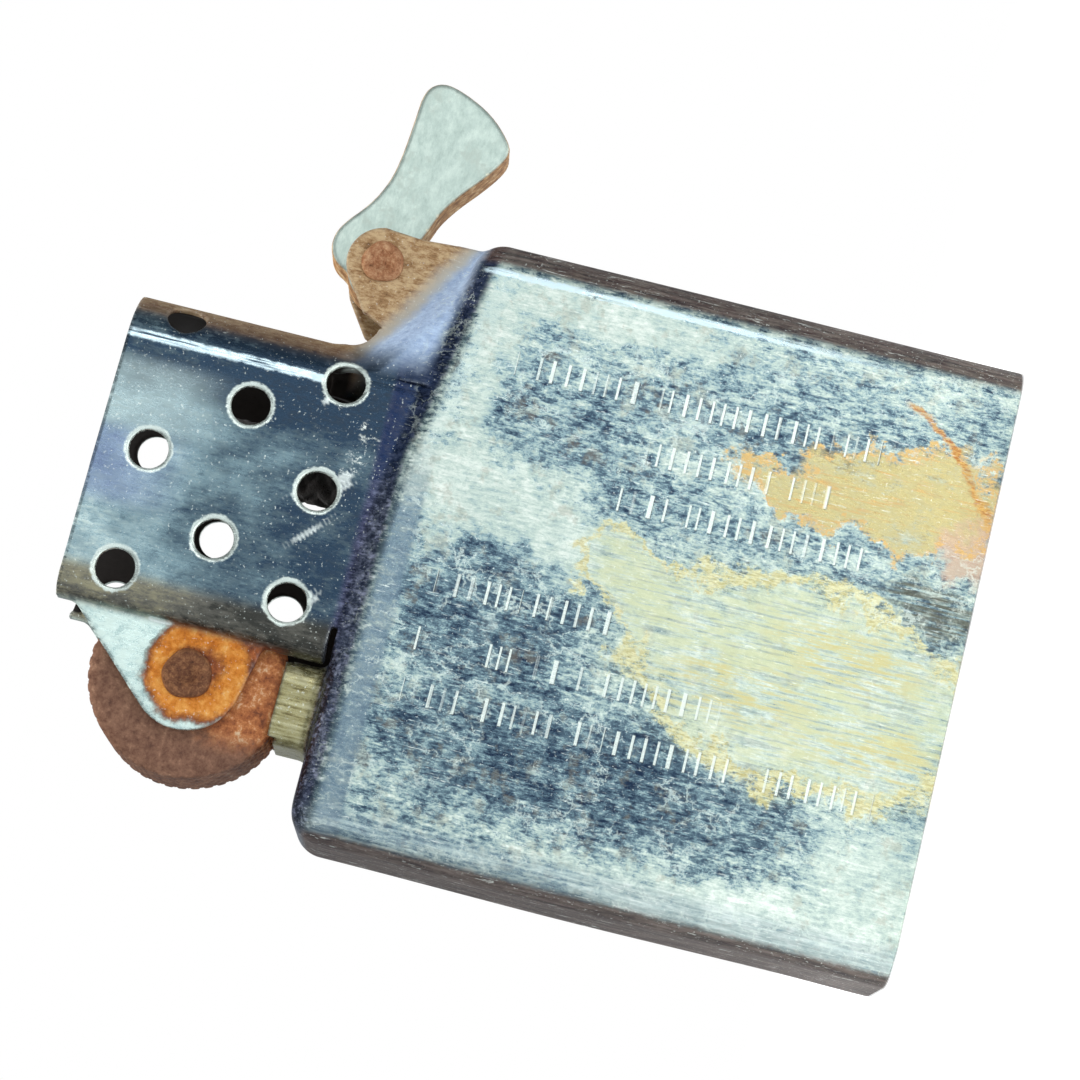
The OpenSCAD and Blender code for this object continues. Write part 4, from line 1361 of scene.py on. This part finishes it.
def add_metal_pieces():
    dark_rust = ((52, 30, 20), (108, 66, 42), (168, 118, 78))
    tan_rust = ((96, 54, 30), (164, 110, 74), (206, 166, 126))
    brass = ((120, 92, 44), (186, 154, 86), (226, 200, 134))
    steel = ((110, 110, 112), (160, 162, 164), (208, 210, 212))
    rivet_y = WHEEL_EAR_Y + 0.1
    stand_in(make_case(), "case", "case_shell", case_material())
    stand_in(make_cam(), "cam", "cam", cam_material())
    stand_in(make_wheel(), "flint_wheel", "flint_wheel", wheel_material())
    stand_in(make_rivet("wheel_rivet_dished", 1.05, 1.4, rivet_y, 0.33, (WHEEL_X, 0, WHEEL_Z)), "case",
             "wheel_rivet", rivet_material("wheel_rivet_rust", 5.0, *dark_rust))
    stand_in(make_rivet("cam_rivet_dished", 0.9, 1.22, CAM_EAR_Y, 0.33, (CAM_X, 0, CAM_Z)), "case",
             "cam_rivet", rivet_material("cam_rivet_rust", 9.0, *tan_rust))
    spring = make_spring()
    stand_in(spring, "spring_unit", "flint_spring",
             turned_material("spring_wire", 3.0, *steel))
    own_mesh(spring)
    stand_in(make_screw(), "spring_screw", "spring_screw",
             turned_material("screw_brass", 11.0, *brass))
    cad_finish("flint_tube", turned_material("tube_brass", 13.0, *brass))
    cad_finish("top_plate", turned_material("plate_brass", 23.0, *brass))
    cad_finish("flint_pusher", turned_material("pusher_brass", 29.0, *brass))
    cad_finish("cam_spring", turned_material("leaf_steel", 37.0, *steel))
    cad_finish("cam_spring_rivet", turned_material("leaf_rivet_brass", 41.0, *brass))
    flint_grey = ((54, 52, 52), (92, 88, 86), (140, 134, 128))
    cad_finish("flint", turned_material("flint_alloy", 43.0, *flint_grey, metal=0.7, rough=(0.5, 0.75)))


def add_soft_pieces():
    wick_low, wick_high = node_box("wick")
    wick_x = (wick_low[0] + wick_high[0]) / 2
    wick_r = (wick_high[0] - wick_low[0]) / 2
    cotton_dark, cotton_light = (206, 200, 186), (244, 241, 232)
    felt_dark, felt_light = (142, 138, 128), (206, 202, 190)
    stand_in(make_wick(), "case", "wick",
             fibre_material("wick_cotton", 7.0, (150, 136, 112), (216, 206, 184), 3.2,
                            burnt=(32.5, 34.5)))
    for k in range(1, 6):
        node = f"cotton_pad_{k}"
        holes = [(WHEEL_X, TUBE_R)]
        if node_box(node)[1][2] > wick_low[2] + 0.01:
            holes.append((wick_x, wick_r))
        pad = make_pad(f"cotton_wad_{k}", node, 1.7 * k, 0.16, 0.7, holes)
        stand_in(pad, "case", node,
                 fibre_material(f"cotton_wool_{k}", 50.0 + 3 * k, cotton_dark, cotton_light, 1.3,
                                stain=(214, 204, 176)))
    felt = make_pad("felt_sole", "felt_pad", 3.1, 0.06, 0.2, [(WHEEL_X, TUBE_R)])
    stand_in(felt, "case", "felt_pad",
             fibre_material("felt_wool", 71.0, felt_dark, felt_light, 2.6, stain=(120, 112, 98)))
    flap = make_pad("felt_lift", "felt_flap", 4.4, 0.06, 0.2, [])
    stand_in(flap, "felt_flap", "felt_flap",
             fibre_material("felt_wool_flap", 77.0, felt_dark, felt_light, 2.6, stain=(120, 112, 98)))


add_camera()
add_metal_pieces()
add_soft_pieces()
add_floor()
add_world()
add_light("overhead", (0, 10, 190), (160, 160), 0.55, False)
add_light("strip", (131, -270, 24), (45, 260), 0.085, True)
bpy.context.scene.view_settings.view_transform = "Standard"
